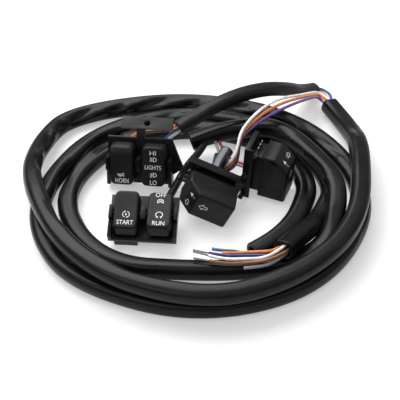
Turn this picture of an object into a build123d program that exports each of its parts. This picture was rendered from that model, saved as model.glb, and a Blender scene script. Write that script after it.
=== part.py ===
from build123d import *
import math
import os

# Handlebar switch cluster: two modules of paired rocker switches, two turn signal buttons,
# and the two sheathed harnesses that lie coiled around them.
# All lengths are millimetres and all angles are degrees.
# A module's own frame has x to the right along its front, y up its front and z out of it.

# Fits
RUNNING = 0.05  # radial room of a pin, stem or plunger in its bore
CLEAR = 0.4  # room between pieces that pass one another
TOUCH_GAP = 0.3  # room between a pusher and what it pushes
OVERRUN = 1.0  # how far a cutter stands past the face it cuts

# Rocker caps
CAP_WIDTH = 13.0
CAP_LENGTH = 22.0
CAP_HEIGHT = 7.2
CAP_WALL = 1.6
CAP_CORNER = 3.0
CAP_EDGE = 0.9
CAP_DRAFT = 5.0
CAP_LIFT = 2.2  # base of the cap above the carrier's plate
BEVEL_RUN = 4.0
BEVEL_DROP = 1.5
ROCK = 7.0  # a cap's swing to either side of level

# Pair carriers
CAP_PITCH = 16.6
RIB_WIDTH = 2.6
EAR_WIDTH = 1.8
SIDE_GAP = 0.5  # beside a cap, towards the ears
CARRIER_LENGTH = 25.0
PLATE_THICKNESS = 2.0
SIDE_WALL_HEIGHT = 4.4
SIDE_WALL_LENGTH = 16.0
EAR_LENGTH = 7.0
HINGE_HEIGHT = 4.5
PIN_DIAMETER = 2.0
PIN_COVER = 1.4  # plastic above the pin's bore
PIN_SPLIT = 0.5  # between the ends of the two pins
FIN_REACH = 5.5
FIN_TOP = 11.0
FIN_TIP = -3.0
FIN_FOOT = -7.0

# Switch bodies behind the pair carriers
SWITCH_WIDTH = 11.6
SWITCH_DEPTH = 4.0
SWITCH_FLOOR = 0.8
PUSH_ARM = 6.5  # from the hinge line down to the plunger's axis
PUSH_SWITCH_LENGTH = 12.0
PUSHER_DIAMETER = 3.2
PLUNGER_DIAMETER = 2.6
PLUNGER_HEIGHT = 5.0
PLUNGER_FLANGE = 3.8
FLANGE_THICKNESS = 0.6
POCKET_DIAMETER = 4.4
PLUNGER_WIRE = 0.35
PLUNGER_COIL = 2.6
PLUNGER_TURNS = 3

# Two-position switches
SLIDE_SWITCH_LENGTH = 16.0
SLIDER_WIDTH = 8.0
SLIDER_LENGTH = 8.6
SLIDER_HEIGHT = 2.2
TONGUE_WIDTH = 4.6
TONGUE_THICKNESS = 4.0
TONGUE_REACH = 4.0  # below the plate's front face
SLOT_GAP = 0.35

# Solder tags
TAG_WIDTH = 1.4
TAG_THICKNESS = 0.5
TAG_LENGTH = 3.0
TAG_PITCH = 4.0
TAG_SETBACK = 2.0  # from the middle of the switch body

# Bracket above the horn and lights carrier
BAR_LENGTH = 27.0
BAR_WIDTH = 6.4
BAR_THICKNESS = 1.8
BAR_SHIFT = 3.2
BAR_TILT = 38.0
BAR_HOLE = 3.4
NECK_WIDTH = 4.6
NECK_RISE = 5.2
FOOT_LENGTH = 8.0
SCREW_SHANK = 2.0
SCREW_HEAD = 3.6
SCREW_HEAD_HEIGHT = 1.2
SCREW_BITE = 1.4
PILOT_DEPTH = 1.6
FOOT_SCREW_INSET = 3.4

# Turn signal buttons
TURN_LENGTH = 26.0
TURN_WIDTH = 16.0
TURN_HEIGHT = 11.5
TURN_WALL = 1.6
TURN_EDGE = 1.3
TURN_SHOULDER = 4.0  # straight side below the slanted end face
TURN_SLANT = 6.5  # run of the slanted end face
TURN_SKIRT = 3.0  # how far the button reaches back over its housing
STEM_DIAMETER = 5.0
TURN_TRAVEL = 2.5
BRIDGE_LENGTH = 8.0
BRIDGE_WIDTH = 3.0
BRIDGE_THICKNESS = 0.6
TURN_WIRE = 0.7
TURN_COIL = 7.6
TURN_TURNS = 4

# Turn signal housings and plates
HOUSING_DEPTH = 9.5
HOUSING_INSIDE = 3.0  # how far it reaches into the button
HOUSING_FRONT = 1.6
HOUSING_END = 4.4
HOUSING_SIDE = 1.4
MOUNT_LENGTH = 31.0
MOUNT_WIDTH = 17.0
MOUNT_THICKNESS = 2.5
MOUNT_HOLE = 2.8
MOUNT_HOLE_INSET = 2.5
WIRE_OPENING = 5.8
WIRE_OPENING_SPOT = (3.2, -1.2)
LIP_HEIGHT = 2.2
LIP_THICKNESS = 1.2
PEG_DIAMETER = 2.6
PEG_LENGTH = 4.0
PEG_INSET = 2.4
GUSSET_LENGTH = 3.6
GUSSET_THICKNESS = 1.4
BOARD_THICKNESS = 1.2
HOUSING_SCREW_BITE = 4.0
TURN_TAG_COUNT = 3
TURN_TAG_PITCH = 3.0
TURN_TAG_HEIGHT = 3.2
TURN_TAG_LENGTH = 3.4

# Where each module lies: plan place of its own origin, and the way its front looks
HORN_PLACE = (-31.0, 14.8)
HORN_YAW, HORN_RISE, HORN_ROLL = 9.0, 18.0, 2.5
START_PLACE = (-28.0, -24.8)
START_YAW, START_RISE, START_ROLL = 4.0, 69.0, 0.0
LEFT_TURN_PLACE = (4.6, -10.2)
LEFT_TURN_YAW, LEFT_TURN_RISE, LEFT_TURN_ROLL = 8.7, -2.7, -23.6
RIGHT_TURN_PLACE = (35.8, 6.8)
RIGHT_TURN_YAW, RIGHT_TURN_RISE, RIGHT_TURN_ROLL = -70.0, -3.0, 88.0

# Harness sheaths
SHEATH_DIAMETER = 10.0
SHEATH_BORE = 7.0
BORE_DEPTH = 6.0
ARCH_DIAMETER = 7.6
ARCH_BORE = 5.6
COIL_CENTRE = (0.0, -4.0)
# Turns of each sheath as (bearing, distance from the coil's centre, height of its middle)
LEFT_TURNS = [
    (41.6, 102.4, 5.6), (33.0, 96.5, 7.8), (18.5, 87.0, 16.0), (-22.0, 80.5, 15.8), (-56.0, 78.5, 15.8),
    (-90.0, 79.0, 15.8), (-135.0, 77.5, 15.8), (-180.0, 84.0, 15.8), (-204.0, 92.5, 9.0),
    (-225.0, 96.0, 5.2), (-270.0, 77.5, 5.2), (-315.0, 79.5, 5.2), (-360.0, 83.5, 5.2),
    (-405.0, 80.2, 5.2), (-450.0, 76.5, 5.2), (-495.0, 81.5, 5.2), (-522.0, 82.5, 5.2),
    (-546.0, 76.0, 5.2), (-585.0, 71.0, 5.2), (-630.0, 66.4, 5.2), (-675.0, 66.5, 5.2),
    (-712.0, 69.0, 5.2), (-735.0, 61.6, 5.4), (-749.0, 60.3, 10.6), (-763.0, 61.8, 14.6),
]
RIGHT_TURNS = [
    (84.0, 41.5, 13.0), (66.0, 47.5, 15.6), (45.0, 60.0, 16.6), (4.0, 67.0, 16.4),
    (-14.0, 70.4, 14.0), (-29.0, 70.7, 6.2), (-42.0, 67.4, 5.2), (-60.0, 58.0, 5.2),
    (-90.0, 49.5, 5.2), (-135.0, 60.6, 5.2), (-180.0, 63.5, 5.2), (-225.0, 59.4, 5.2),
    (-270.0, 55.2, 5.2), (-315.0, 56.0, 5.2), (-348.0, 56.2, 5.2), (-372.0, 50.5, 5.2),
    (-405.0, 46.0, 5.2),
]
GAP_SAMPLES = 420

# The short sheath that arches from the horn module over the coil
ARCH_ROUTE = [
    (-11.5, 27.0, 26.0), (2.5, 36.5, 30.2), (18.0, 47.6, 31.2), (34.0, 59.4, 27.4),
    (48.6, 70.6, 19.0), (57.6, 80.4, 9.6), (65.0, 88.6, 5.0),
]

# The branch cable from the right sheath's side to the start and run module
BRANCH_DIAMETER = 4.0
BRANCH_WIRE = 1.2
BRANCH_BEARINGS = (45, -45, 135, 225)
BRANCH_ROUTE = [
    (3.4, 34.4, 11.9), (-0.2, 27.6, 9.5), (-5.4, 20.6, 8.2), (-9.0, 12.8, 7.7), (-11.9, 4.6, 7.4),
    (-15.4, -4.4, 7.0),
]

# Side openings of the right sheath, as (place on its middle line, way out, width, start)
BRANCH_EXIT = ((5.0, 37.6, 13.1), (-0.42, -0.85, -0.31), 4.6, 3.2)
WIRES_EXIT = ((7.5, 38.3, 13.7), (0.35, -0.88, -0.3), 5.4, 2.4)

# Single wires
WIRE_DIAMETER = 1.6
STRAND_DIAMETER = 1.0
STRAND_LENGTH = 8.0
EXIT_LEAD = 3.0  # straight stretch outside a mouth
FIVE_WIRE_CIRCLE = 2.2
FOUR_WIRE_CIRCLE = 1.5
TWO_WIRE_CIRCLE = 1.1
TAG_APPROACH = 6.0
PLATE_APPROACH = 7.0

# Places that the three wires to the left turn signal pass, out of the left sheath
FEED_ROUTE = [
    (66.9, 80.4, 7.4), (62.0, 73.8, 12.2), (54.0, 62.4, 18.8), (46.2, 51.2, 25.0), (38.5, 41.0, 28.9),
    (30.6, 31.2, 30.4), (23.8, 22.8, 29.2), (21.0, 17.8, 27.8), (19.8, 13.4, 25.0), (18.8, 9.8, 21.2),
    (16.6, 8.8, 16.4),
]
# How far the three wires lie from their middle one there, and which way
FEED_FAN = [
    (2.2, 0), (2.4, 0), (2.8, 5), (3.2, 15), (2.9, 30), (2.3, 50), (1.9, 70), (1.8, 85), (1.8, 90),
    (1.8, 90), (1.8, 80),
]
FEED_WIRES = {"violet": (162, -1), "orange": (90, 0), "white": (18, 1)}
OPENING_SPREAD = 1.8
OPENING_BEARING = 157

# Places that the two wires between the arched sheath and the left sheath pass
LINK_ROUTE = [(73.4, 81.6, 3.8), (72.2, 87.6, 3.2)]
LINK_WIRES = {"blue": (-54, 180), "ochre": (-126, 0)}

# Places that the wires out of the arched sheath pass behind the horn module
HORN_ROUTE = [(-20.5, 25.8, 25.2), (-28.0, 27.4, 23.4), (-35.6, 28.0, 18.6)]
LIGHTS_ROUTE = [(-18.0, 25.6, 21.0)]
HORN_WIRES = {"orange": 45, "brown": 135}
LIGHTS_WIRES = {"blue": -45, "white": -135}

# Places that the wires to the right turn signal pass, out of the right sheath's side
RIGHT_FEED_ROUTE = [(8.6, 35.7, 12.8), (10.2, 29.8, 11.2), (11.6, 23.0, 11.8)]
RIGHT_FEED_WIRES = {"red": -1.1, "grey": 1.1}

# Free wires at the cut ends: where they leave their mouth, and the places they pass
LEFT_LEADS = {
    "orange": (18, [(31.6, -53.4, 14.8), (24.6, -51.8, 12.9), (17.2, -52.0, 12.3), (10.6, -51.8, 12.2)]),
    "navy": (-54, [(31.0, -55.4, 13.2), (22.0, -54.4, 12.0), (12.5, -54.7, 11.9), (4.4, -52.2, 12.0)]),
    "white": (90, [(31.0, -57.8, 15.6), (21.5, -56.7, 13.7), (11.5, -56.5, 13.3), (4.2, -54.1, 13.3)]),
    "brown": (162, [(31.4, -60.0, 15.0), (22.4, -59.2, 12.9), (13.0, -58.8, 11.9), (4.6, -56.6, 11.7)]),
    "grey": (-126, [(33.4, -60.4, 13.2), (27.4, -60.9, 11.9), (21.0, -60.7, 10.9)]),
}
RIGHT_LEADS = {"teal": [(20.6, -46.0, 6.8), (16.4, -48.8, 10.6), (11.0, -49.5, 11.6), (5.8, -48.4, 11.6)]}
STRIPPED = ("white", "navy", "brown")

# The dark sleeve behind the left turn signal's plate
SLEEVE_DIAMETER = 6.4
SLEEVE_BORE = 5.4
SLEEVE_SEAT = (-0.2, 4.4)
SLEEVE_LEAD = 4.6
SLEEVE_END = (14.2, 15.0, 21.4)


def seat(thing, x=0.0, y=0.0, z=0.0):
    """The thing moved to a place."""
    return Pos(x, y, z) * thing


def slab(width, length, low, high):
    """A block centred in plan that stands between two heights."""
    return seat(Box(width, length, high - low), z=(low + high) / 2)


def rod(diameter, low, high):
    """A round bar along z between two heights."""
    return seat(Cylinder(diameter / 2, high - low), z=(low + high) / 2)


def cross_rod(diameter, start, end):
    """A round bar along x between two places."""
    return seat(Rot(0, 90, 0) * Cylinder(diameter / 2, end - start), x=(start + end) / 2)


def compression_spring(wire, outer, low, high, turns):
    """A round coil along z that stands between two seats."""
    height = high - low - wire - 2 * RUNNING
    lay = Edge.make_helix(height / turns, height, (outer - wire) / 2)
    section = Plane(origin=lay @ 0, z_dir=lay % 0) * Circle(wire / 2)
    return seat(sweep(section, path=lay), z=low + wire / 2 + RUNNING)


def solder_tags(count, pitch, length):
    """Flat tags in a row along x that point up y from y = 0."""
    blades = []
    for place in range(count):
        across = (place - (count - 1) / 2) * pitch
        blades.append(seat(Box(TAG_WIDTH, length, TAG_THICKNESS), x=across, y=length / 2))
    return blades


def group(solids):
    """Separate solids that share one node."""
    return Compound([solid for part in solids for solid in part.solids()])


# Pair modules


def carrier_width():
    return CAP_PITCH + CAP_WIDTH + 2 * (SIDE_GAP + EAR_WIDTH)


def cap_shell(bevelled):
    """The cap's moulding: drafted outside, rounded rim, and open underneath."""
    outline = RectangleRounded(CAP_WIDTH, CAP_LENGTH, CAP_CORNER)
    shell = extrude(outline, CAP_HEIGHT, taper=CAP_DRAFT)
    shell = fillet(shell.faces().sort_by(Axis.Z)[-1].edges(), CAP_EDGE)
    if bevelled:
        slope = Polyline(
            (CAP_LENGTH / 2 - BEVEL_RUN, CAP_HEIGHT),
            (CAP_LENGTH / 2 + OVERRUN, CAP_HEIGHT - BEVEL_DROP * (BEVEL_RUN + OVERRUN) / BEVEL_RUN),
            (CAP_LENGTH / 2 + OVERRUN, CAP_HEIGHT + OVERRUN),
            (CAP_LENGTH / 2 - BEVEL_RUN, CAP_HEIGHT + OVERRUN),
            close=True,
        )
        shell -= extrude(Plane.YZ * make_face(slope), CAP_WIDTH, both=True)
    inside = RectangleRounded(
        CAP_WIDTH - 2 * CAP_WALL, CAP_LENGTH - 2 * CAP_WALL, CAP_CORNER - CAP_WALL
    )
    return shell - extrude(inside, CAP_HEIGHT - CAP_WALL, taper=CAP_DRAFT)


def rocker_cap(side, tilt, bevelled=False, tongued=False):
    """A cap on its hinge, with the post or the tongue that works its switch."""
    cap = seat(cap_shell(bevelled), z=CAP_LIFT)
    ceiling = CAP_LIFT + CAP_HEIGHT - CAP_WALL / 2
    if tongued:
        cap += slab(TONGUE_WIDTH, TONGUE_THICKNESS, -TONGUE_REACH, ceiling)
    else:
        cap += seat(rod(PUSHER_DIAMETER, PLUNGER_HEIGHT + TOUCH_GAP, ceiling), y=-PUSH_ARM)
    bore = cross_rod(PIN_DIAMETER + 2 * RUNNING, -CAP_WIDTH, CAP_WIDTH)
    cap -= seat(bore, z=HINGE_HEIGHT)
    swing = Pos(0, 0, HINGE_HEIGHT) * Rot(tilt, 0, 0) * Pos(0, 0, -HINGE_HEIGHT)
    return Pos(side * CAP_PITCH / 2, 0, 0) * swing * cap


def slot_length():
    """Length of the plate's slot, which leaves the tongue its whole swing."""
    return TONGUE_THICKNESS + 2 * (tongue_arm() * math.sin(math.radians(ROCK)) + CLEAR)


def tongue_arm():
    """From the hinge line to the height where the tongue drives its slider."""
    return HINGE_HEIGHT + (TONGUE_REACH + PLATE_THICKNESS + TOUCH_GAP) / 2


def pair_carrier(push_side, finned=False):
    """The moulded plate with ears, a middle rib, and openings for both switches."""
    width = carrier_width()
    crown = HINGE_HEIGHT + PIN_DIAMETER / 2 + PIN_COVER
    carrier = slab(width, CARRIER_LENGTH, -PLATE_THICKNESS, 0)
    carrier += slab(RIB_WIDTH, EAR_LENGTH, 0, crown)
    for side in (-1, 1):
        edge = side * (width - EAR_WIDTH) / 2
        wall = slab(EAR_WIDTH, SIDE_WALL_LENGTH, 0, SIDE_WALL_HEIGHT)
        carrier += seat(wall, x=edge, y=(SIDE_WALL_LENGTH - CARRIER_LENGTH) / 2)
        carrier += seat(slab(EAR_WIDTH, EAR_LENGTH, 0, crown), x=edge)
    if finned:
        web = Polyline(
            (width / 2, FIN_TOP), (width / 2 + FIN_REACH, FIN_TIP), (width / 2, FIN_FOOT), close=True
        )
        carrier += seat(extrude(make_face(web), PLATE_THICKNESS), z=-PLATE_THICKNESS)
        pilot = rod(SCREW_SHANK + 2 * RUNNING, -PLATE_THICKNESS - OVERRUN, -PLATE_THICKNESS + PILOT_DEPTH)
        carrier -= seat(pilot, y=foot_screw_height())
    bore = cross_rod(PIN_DIAMETER + 2 * RUNNING, -width, width)
    carrier -= seat(bore, z=HINGE_HEIGHT)
    plunger_hole = rod(PLUNGER_DIAMETER + 2 * RUNNING, -PLATE_THICKNESS - OVERRUN, OVERRUN)
    carrier -= seat(plunger_hole, x=push_side * CAP_PITCH / 2, y=-PUSH_ARM)
    slot = slab(TONGUE_WIDTH + 2 * CLEAR, slot_length(), -PLATE_THICKNESS - OVERRUN, OVERRUN)
    return carrier - seat(slot, x=-push_side * CAP_PITCH / 2)


def hinge_pins():
    """One steel pin under each cap, both on the carrier's hinge line."""
    end = carrier_width() / 2
    pin = cross_rod(PIN_DIAMETER, PIN_SPLIT / 2, end)
    return group([seat(pin, z=HINGE_HEIGHT), Rot(0, 0, 180) * seat(pin, z=HINGE_HEIGHT)])


def pocket_floor():
    return -PLATE_THICKNESS - SWITCH_DEPTH + SWITCH_FLOOR


def push_switch(side):
    """The body of a momentary switch, pressed against the back of the plate."""
    body = slab(SWITCH_WIDTH, PUSH_SWITCH_LENGTH, -PLATE_THICKNESS - SWITCH_DEPTH, -PLATE_THICKNESS)
    body -= rod(POCKET_DIAMETER, pocket_floor(), OVERRUN)
    return seat(body, x=side * CAP_PITCH / 2, y=-PUSH_ARM)


def plunger(side):
    """The round plunger, held in by its flange behind the plate."""
    flange_top = -PLATE_THICKNESS - TOUCH_GAP
    body = rod(PLUNGER_DIAMETER, flange_top - FLANGE_THICKNESS, PLUNGER_HEIGHT)
    body += rod(PLUNGER_FLANGE, flange_top - FLANGE_THICKNESS, flange_top)
    return seat(body, x=side * CAP_PITCH / 2, y=-PUSH_ARM)


def plunger_spring(side):
    low = pocket_floor()
    high = -PLATE_THICKNESS - TOUCH_GAP - FLANGE_THICKNESS
    coil = compression_spring(PLUNGER_WIRE, PLUNGER_COIL, low, high, PLUNGER_TURNS)
    return seat(coil, x=side * CAP_PITCH / 2, y=-PUSH_ARM)


def slider_throw():
    """How far the slider stands from the middle at either end of the rocker's swing."""
    return tongue_arm() * math.sin(math.radians(ROCK))


def slide_switch(side):
    """The body of a two-position switch, with the channel its slider runs in."""
    body = slab(SWITCH_WIDTH, SLIDE_SWITCH_LENGTH, -PLATE_THICKNESS - SWITCH_DEPTH, -PLATE_THICKNESS)
    run = SLIDER_LENGTH + 2 * (slider_throw() + CLEAR)
    body -= slab(SLIDER_WIDTH + 2 * CLEAR, run, pocket_floor(), OVERRUN)
    return seat(body, x=side * CAP_PITCH / 2)


def contact_slider(side, tilt):
    """The slider that the rocker's tongue carries to and fro."""
    top = -PLATE_THICKNESS - TOUCH_GAP
    body = slab(SLIDER_WIDTH, SLIDER_LENGTH, top - SLIDER_HEIGHT, top)
    window = slab(
        TONGUE_WIDTH + 2 * SLOT_GAP, TONGUE_THICKNESS + 2 * SLOT_GAP, top - SLIDER_HEIGHT - OVERRUN, OVERRUN
    )
    shift = tongue_arm() * math.sin(math.radians(tilt))
    return seat(body - window, x=side * CAP_PITCH / 2, y=shift)


def pair_tag_spots(push_side):
    """Where the tags stand on the backs of both switch bodies, the push switch first."""
    spots = []
    for side, height in ((push_side, TAG_SETBACK - PUSH_ARM), (-push_side, -TAG_SETBACK)):
        for step in (-1, 1):
            spots.append((side * CAP_PITCH / 2 + step * TAG_PITCH / 2, height))
    return spots


def pair_tags(push_side):
    """Solder tags that stand out of the backs of both switch bodies."""
    back = -PLATE_THICKNESS - SWITCH_DEPTH
    blade = slab(TAG_WIDTH, TAG_THICKNESS, back - TAG_LENGTH, back)
    return group([seat(blade, x=x, y=y) for x, y in pair_tag_spots(push_side)])


def pair_module(push_name, slide_name, push_side, finned, bevelled):
    """Every piece of one pair module in its own frame."""
    prefix = f"{push_name}_{slide_name}"
    return {
        f"{prefix}_carrier": pair_carrier(push_side, finned),
        "hinge_pins": hinge_pins(),
        "pair_solder_tags": pair_tags(push_side),
        f"{push_name}_cap": rocker_cap(push_side, 0.0, bevelled=bevelled),
        f"{push_name}_switch_body": push_switch(push_side),
        f"{push_name}_plunger": plunger(push_side),
        f"{push_name}_plunger_spring": plunger_spring(push_side),
        f"{slide_name}_cap": rocker_cap(-push_side, -ROCK, tongued=True),
        f"{slide_name}_switch_body": slide_switch(-push_side),
        f"{slide_name}_contact_slider": contact_slider(-push_side, -ROCK),
    }


def foot_bottom():
    return -PLATE_THICKNESS - BAR_THICKNESS


def bracket_tab():
    """The flat bar above the carrier, on a neck whose foot is screwed behind the plate."""
    top = CARRIER_LENGTH / 2
    neck = slab(NECK_WIDTH, FOOT_LENGTH + NECK_RISE, foot_bottom(), -PLATE_THICKNESS)
    tab = seat(neck, y=top + (NECK_RISE - FOOT_LENGTH) / 2)
    bar = slab(BAR_LENGTH, BAR_WIDTH, -BAR_THICKNESS / 2, BAR_THICKNESS / 2)
    bar -= rod(BAR_HOLE, -BAR_THICKNESS - OVERRUN, BAR_THICKNESS + OVERRUN)
    tab += bar_place() * seat(bar, x=BAR_SHIFT)
    hole = rod(SCREW_SHANK + 2 * RUNNING, foot_bottom() - OVERRUN, OVERRUN)
    return tab - seat(hole, y=foot_screw_height())


def bar_place():
    """Where the tilted bar's middle sits on top of the neck."""
    lean = BAR_WIDTH / 2 * math.cos(math.radians(BAR_TILT)) - BAR_THICKNESS / 2
    middle = -PLATE_THICKNESS - BAR_THICKNESS / 2
    drop = BAR_WIDTH / 2 * math.sin(math.radians(BAR_TILT)) - BAR_THICKNESS / 2
    return Pos(0, CARRIER_LENGTH / 2 + NECK_RISE + lean, middle - drop) * Rot(-BAR_TILT, 0, 0)


def foot_screw_height():
    return CARRIER_LENGTH / 2 - FOOT_SCREW_INSET


def bracket_screw():
    """The pan-head screw through the bracket's foot into the carrier."""
    screw = rod(SCREW_SHANK, foot_bottom(), -PLATE_THICKNESS + SCREW_BITE)
    screw += rod(SCREW_HEAD, foot_bottom() - SCREW_HEAD_HEIGHT, foot_bottom())
    return seat(screw, y=foot_screw_height())


# Turn signal modules, described with the slanted end to the left


def turn_block(length, width, height, shoulder, slant):
    """The button's solid outline: a block with one slanted end face."""
    side = Polyline(
        (-length / 2, 0),
        (-length / 2, shoulder),
        (-length / 2 + slant, height),
        (length / 2, height),
        (length / 2, 0),
        close=True,
    )
    return extrude(Plane.XZ * make_face(side), width / 2, both=True)


def housing_length():
    return TURN_LENGTH - 2 * (TURN_WALL + CLEAR)


def housing_width():
    return TURN_WIDTH - 2 * (TURN_WALL + CLEAR)


def turn_button():
    """The hollow push button with its round stem."""
    height, shoulder = TURN_SKIRT + TURN_HEIGHT, TURN_SKIRT + TURN_SHOULDER
    shell = turn_block(TURN_LENGTH, TURN_WIDTH, height, shoulder, TURN_SLANT)
    rim = shell.edges().filter_by(lambda edge: edge.center().Z > RUNNING)
    shell = fillet(rim, TURN_EDGE)
    shell -= turn_block(
        TURN_LENGTH - 2 * TURN_WALL,
        TURN_WIDTH - 2 * TURN_WALL,
        height - TURN_WALL,
        TURN_SKIRT + inner_shoulder(),
        TURN_SLANT,
    )
    shell = seat(shell, z=-TURN_SKIRT)
    return shell + rod(STEM_DIAMETER, stem_end(), TURN_HEIGHT - TURN_WALL / 2)


def stem_end():
    """The stem's end at rest, from which its bridge reaches the contact board at full press."""
    return -HOUSING_DEPTH + BOARD_THICKNESS + TURN_TRAVEL + BRIDGE_THICKNESS + TOUCH_GAP


def inner_shoulder():
    """Where the slanted end face starts inside the button."""
    return TURN_SHOULDER - TURN_WALL / 2


def inner_rise():
    return TURN_HEIGHT - TURN_WALL - inner_shoulder()


def pressed_slope(reach):
    """How high the housing may stand, this far from the middle, under the fully pressed button."""
    beside_wall = TURN_LENGTH / 2 - TURN_WALL - reach
    return inner_shoulder() - TURN_TRAVEL - CLEAR + beside_wall * inner_rise() / TURN_SLANT


def contact_bridge():
    """The brass bridge on the stem's end."""
    return slab(BRIDGE_LENGTH, BRIDGE_WIDTH, stem_end() - BRIDGE_THICKNESS, stem_end())


def turn_housing():
    """The fixed box that guides the stem, with one corner slanted as the pressed button's inside is."""
    length, width = housing_length(), housing_width()
    height = HOUSING_DEPTH + HOUSING_INSIDE
    corner = HOUSING_INSIDE - pressed_slope(length / 2)
    steep = inner_rise() / TURN_SLANT
    housing = seat(turn_block(length, width, height, height - corner, corner / steep), z=-HOUSING_DEPTH)
    room_length = length - 2 * HOUSING_END
    room_width = width - 2 * HOUSING_SIDE
    housing -= slab(room_length, room_width, -HOUSING_DEPTH - OVERRUN, HOUSING_INSIDE - HOUSING_FRONT)
    housing -= rod(STEM_DIAMETER + 2 * RUNNING, -HOUSING_DEPTH, HOUSING_INSIDE + OVERRUN)
    for side in (-1, 1):
        hole = rod(SCREW_SHANK + 2 * RUNNING, -HOUSING_DEPTH - OVERRUN, HOUSING_SCREW_BITE - HOUSING_DEPTH)
        housing -= seat(hole, x=side * screw_reach())
    return housing


def screw_reach():
    return housing_length() / 2 - HOUSING_END / 2


def back_face():
    return -HOUSING_DEPTH - MOUNT_THICKNESS


def turn_mount():
    """The mounting plate behind the housing, with its lip, gusset and peg."""
    plate = slab(MOUNT_LENGTH, MOUNT_WIDTH, back_face(), -HOUSING_DEPTH)
    lip = slab(MOUNT_LENGTH, LIP_THICKNESS, -HOUSING_DEPTH, -HOUSING_DEPTH + LIP_HEIGHT)
    plate += seat(lip, y=(MOUNT_WIDTH - LIP_THICKNESS) / 2)
    web = Polyline((0, 0), (GUSSET_LENGTH, 0), (0, GUSSET_LENGTH), close=True)
    gusset = extrude(Plane.XZ * make_face(web), GUSSET_THICKNESS)
    gap = housing_width() / 2 + CLEAR + GUSSET_THICKNESS
    plate += seat(gusset, x=-housing_length() / 2, y=gap, z=-HOUSING_DEPTH)
    peg = Rot(-90, 0, 0) * rod(PEG_DIAMETER, 0, PEG_LENGTH)
    plate += seat(
        peg, x=MOUNT_LENGTH / 2 - PEG_INSET, y=MOUNT_WIDTH / 2, z=back_face() + MOUNT_THICKNESS / 2
    )
    opening = rod(WIRE_OPENING, back_face() - OVERRUN, -HOUSING_DEPTH + OVERRUN)
    plate -= seat(opening, *WIRE_OPENING_SPOT)
    for side in (-1, 1):
        hole = rod(MOUNT_HOLE, back_face() - OVERRUN, -HOUSING_DEPTH + OVERRUN)
        plate -= seat(hole, x=side * mount_hole_reach())
        screw = rod(SCREW_SHANK + 2 * RUNNING, back_face() - OVERRUN, -HOUSING_DEPTH + OVERRUN)
        plate -= seat(screw, x=side * screw_reach())
    return plate


def mount_hole_reach():
    return MOUNT_LENGTH / 2 - MOUNT_HOLE_INSET


def housing_screws():
    """Two screws from behind the plate into the ends of the housing."""
    screws = []
    for side in (-1, 1):
        screw = rod(SCREW_SHANK, back_face(), HOUSING_SCREW_BITE - HOUSING_DEPTH - CLEAR)
        screw += rod(SCREW_HEAD, back_face() - SCREW_HEAD_HEIGHT, back_face())
        screws.append(seat(screw, x=side * screw_reach()))
    return group(screws)


def contact_board():
    """The contact board on the plate, inside the housing."""
    length = housing_length() - 2 * (HOUSING_END + CLEAR)
    width = housing_width() - 2 * (HOUSING_SIDE + CLEAR)
    return slab(length, width, -HOUSING_DEPTH, -HOUSING_DEPTH + BOARD_THICKNESS)


def return_spring():
    ceiling = TURN_HEIGHT - TURN_WALL
    return compression_spring(TURN_WIRE, TURN_COIL, HOUSING_INSIDE, ceiling, TURN_TURNS)


def turn_tags():
    """Solder tags out of the housing's slanted end."""
    tags = []
    for blade in solder_tags(TURN_TAG_COUNT, TURN_TAG_PITCH, TURN_TAG_LENGTH):
        turned = Rot(0, 0, 90) * blade
        tags.append(seat(turned, x=-housing_length() / 2, z=-HOUSING_DEPTH + TURN_TAG_HEIGHT))
    return group(tags)


def turn_module(name, mirrored):
    """Every piece of one turn signal module in its own frame."""
    pieces = {
        f"{name}_button": turn_button(),
        f"{name}_contact_bridge": contact_bridge(),
        f"{name}_return_spring": return_spring(),
        f"{name}_housing": turn_housing(),
        f"{name}_mount_plate": turn_mount(),
        f"{name}_contact_board": contact_board(),
        "housing_screws": housing_screws(),
        "turn_solder_tags": turn_tags(),
    }
    if mirrored:
        pieces = {node: mirror(piece, about=Plane.YZ) for node, piece in pieces.items()}
    return pieces


# Places of the modules on the floor


def facing(place, yaw, rise, roll):
    """The frame of a module whose front looks along -y turned by yaw, raised by rise and rolled."""
    turn, up = math.radians(yaw), math.radians(rise)
    front = Vector(-math.sin(turn) * math.cos(up), -math.cos(turn) * math.cos(up), math.sin(up))
    right = Vector(math.cos(turn), -math.sin(turn), 0).rotate(Axis((0, 0, 0), front), roll)
    return Plane(origin=(*place, 0), x_dir=right, z_dir=front).location


def lowest(pieces, place):
    """The lowest point of pieces put at a place."""
    return min((place * piece).bounding_box().min.Z for piece in pieces.values())


def modules():
    """Each module's pieces, and the place where it stands on the floor."""
    made = {
        "horn": (
            pair_module("horn", "lights", -1, True, True)
            | {"bracket_tab": bracket_tab(), "bracket_screw": bracket_screw()},
            facing(HORN_PLACE, HORN_YAW, HORN_RISE, HORN_ROLL),
        ),
        "start": (
            pair_module("start", "run", -1, False, False),
            facing(START_PLACE, START_YAW, START_RISE, START_ROLL),
        ),
        "left_turn": (
            turn_module("left_turn", False),
            facing(LEFT_TURN_PLACE, LEFT_TURN_YAW, LEFT_TURN_RISE, LEFT_TURN_ROLL),
        ),
        "right_turn": (
            turn_module("right_turn", True),
            facing(RIGHT_TURN_PLACE, RIGHT_TURN_YAW, RIGHT_TURN_RISE, RIGHT_TURN_ROLL),
        ),
    }
    return {
        name: (pieces, Pos(0, 0, -lowest(pieces, place)) * place)
        for name, (pieces, place) in made.items()
    }


# Harness


def coil_points(stations):
    """Points in space from bearings, distances and heights about the coil's centre."""
    points = []
    for bearing, reach, height in stations:
        angle = math.radians(bearing)
        points.append(
            Vector(
                COIL_CENTRE[0] + reach * math.cos(angle), COIL_CENTRE[1] + reach * math.sin(angle), height
            )
        )
    return points


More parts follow.
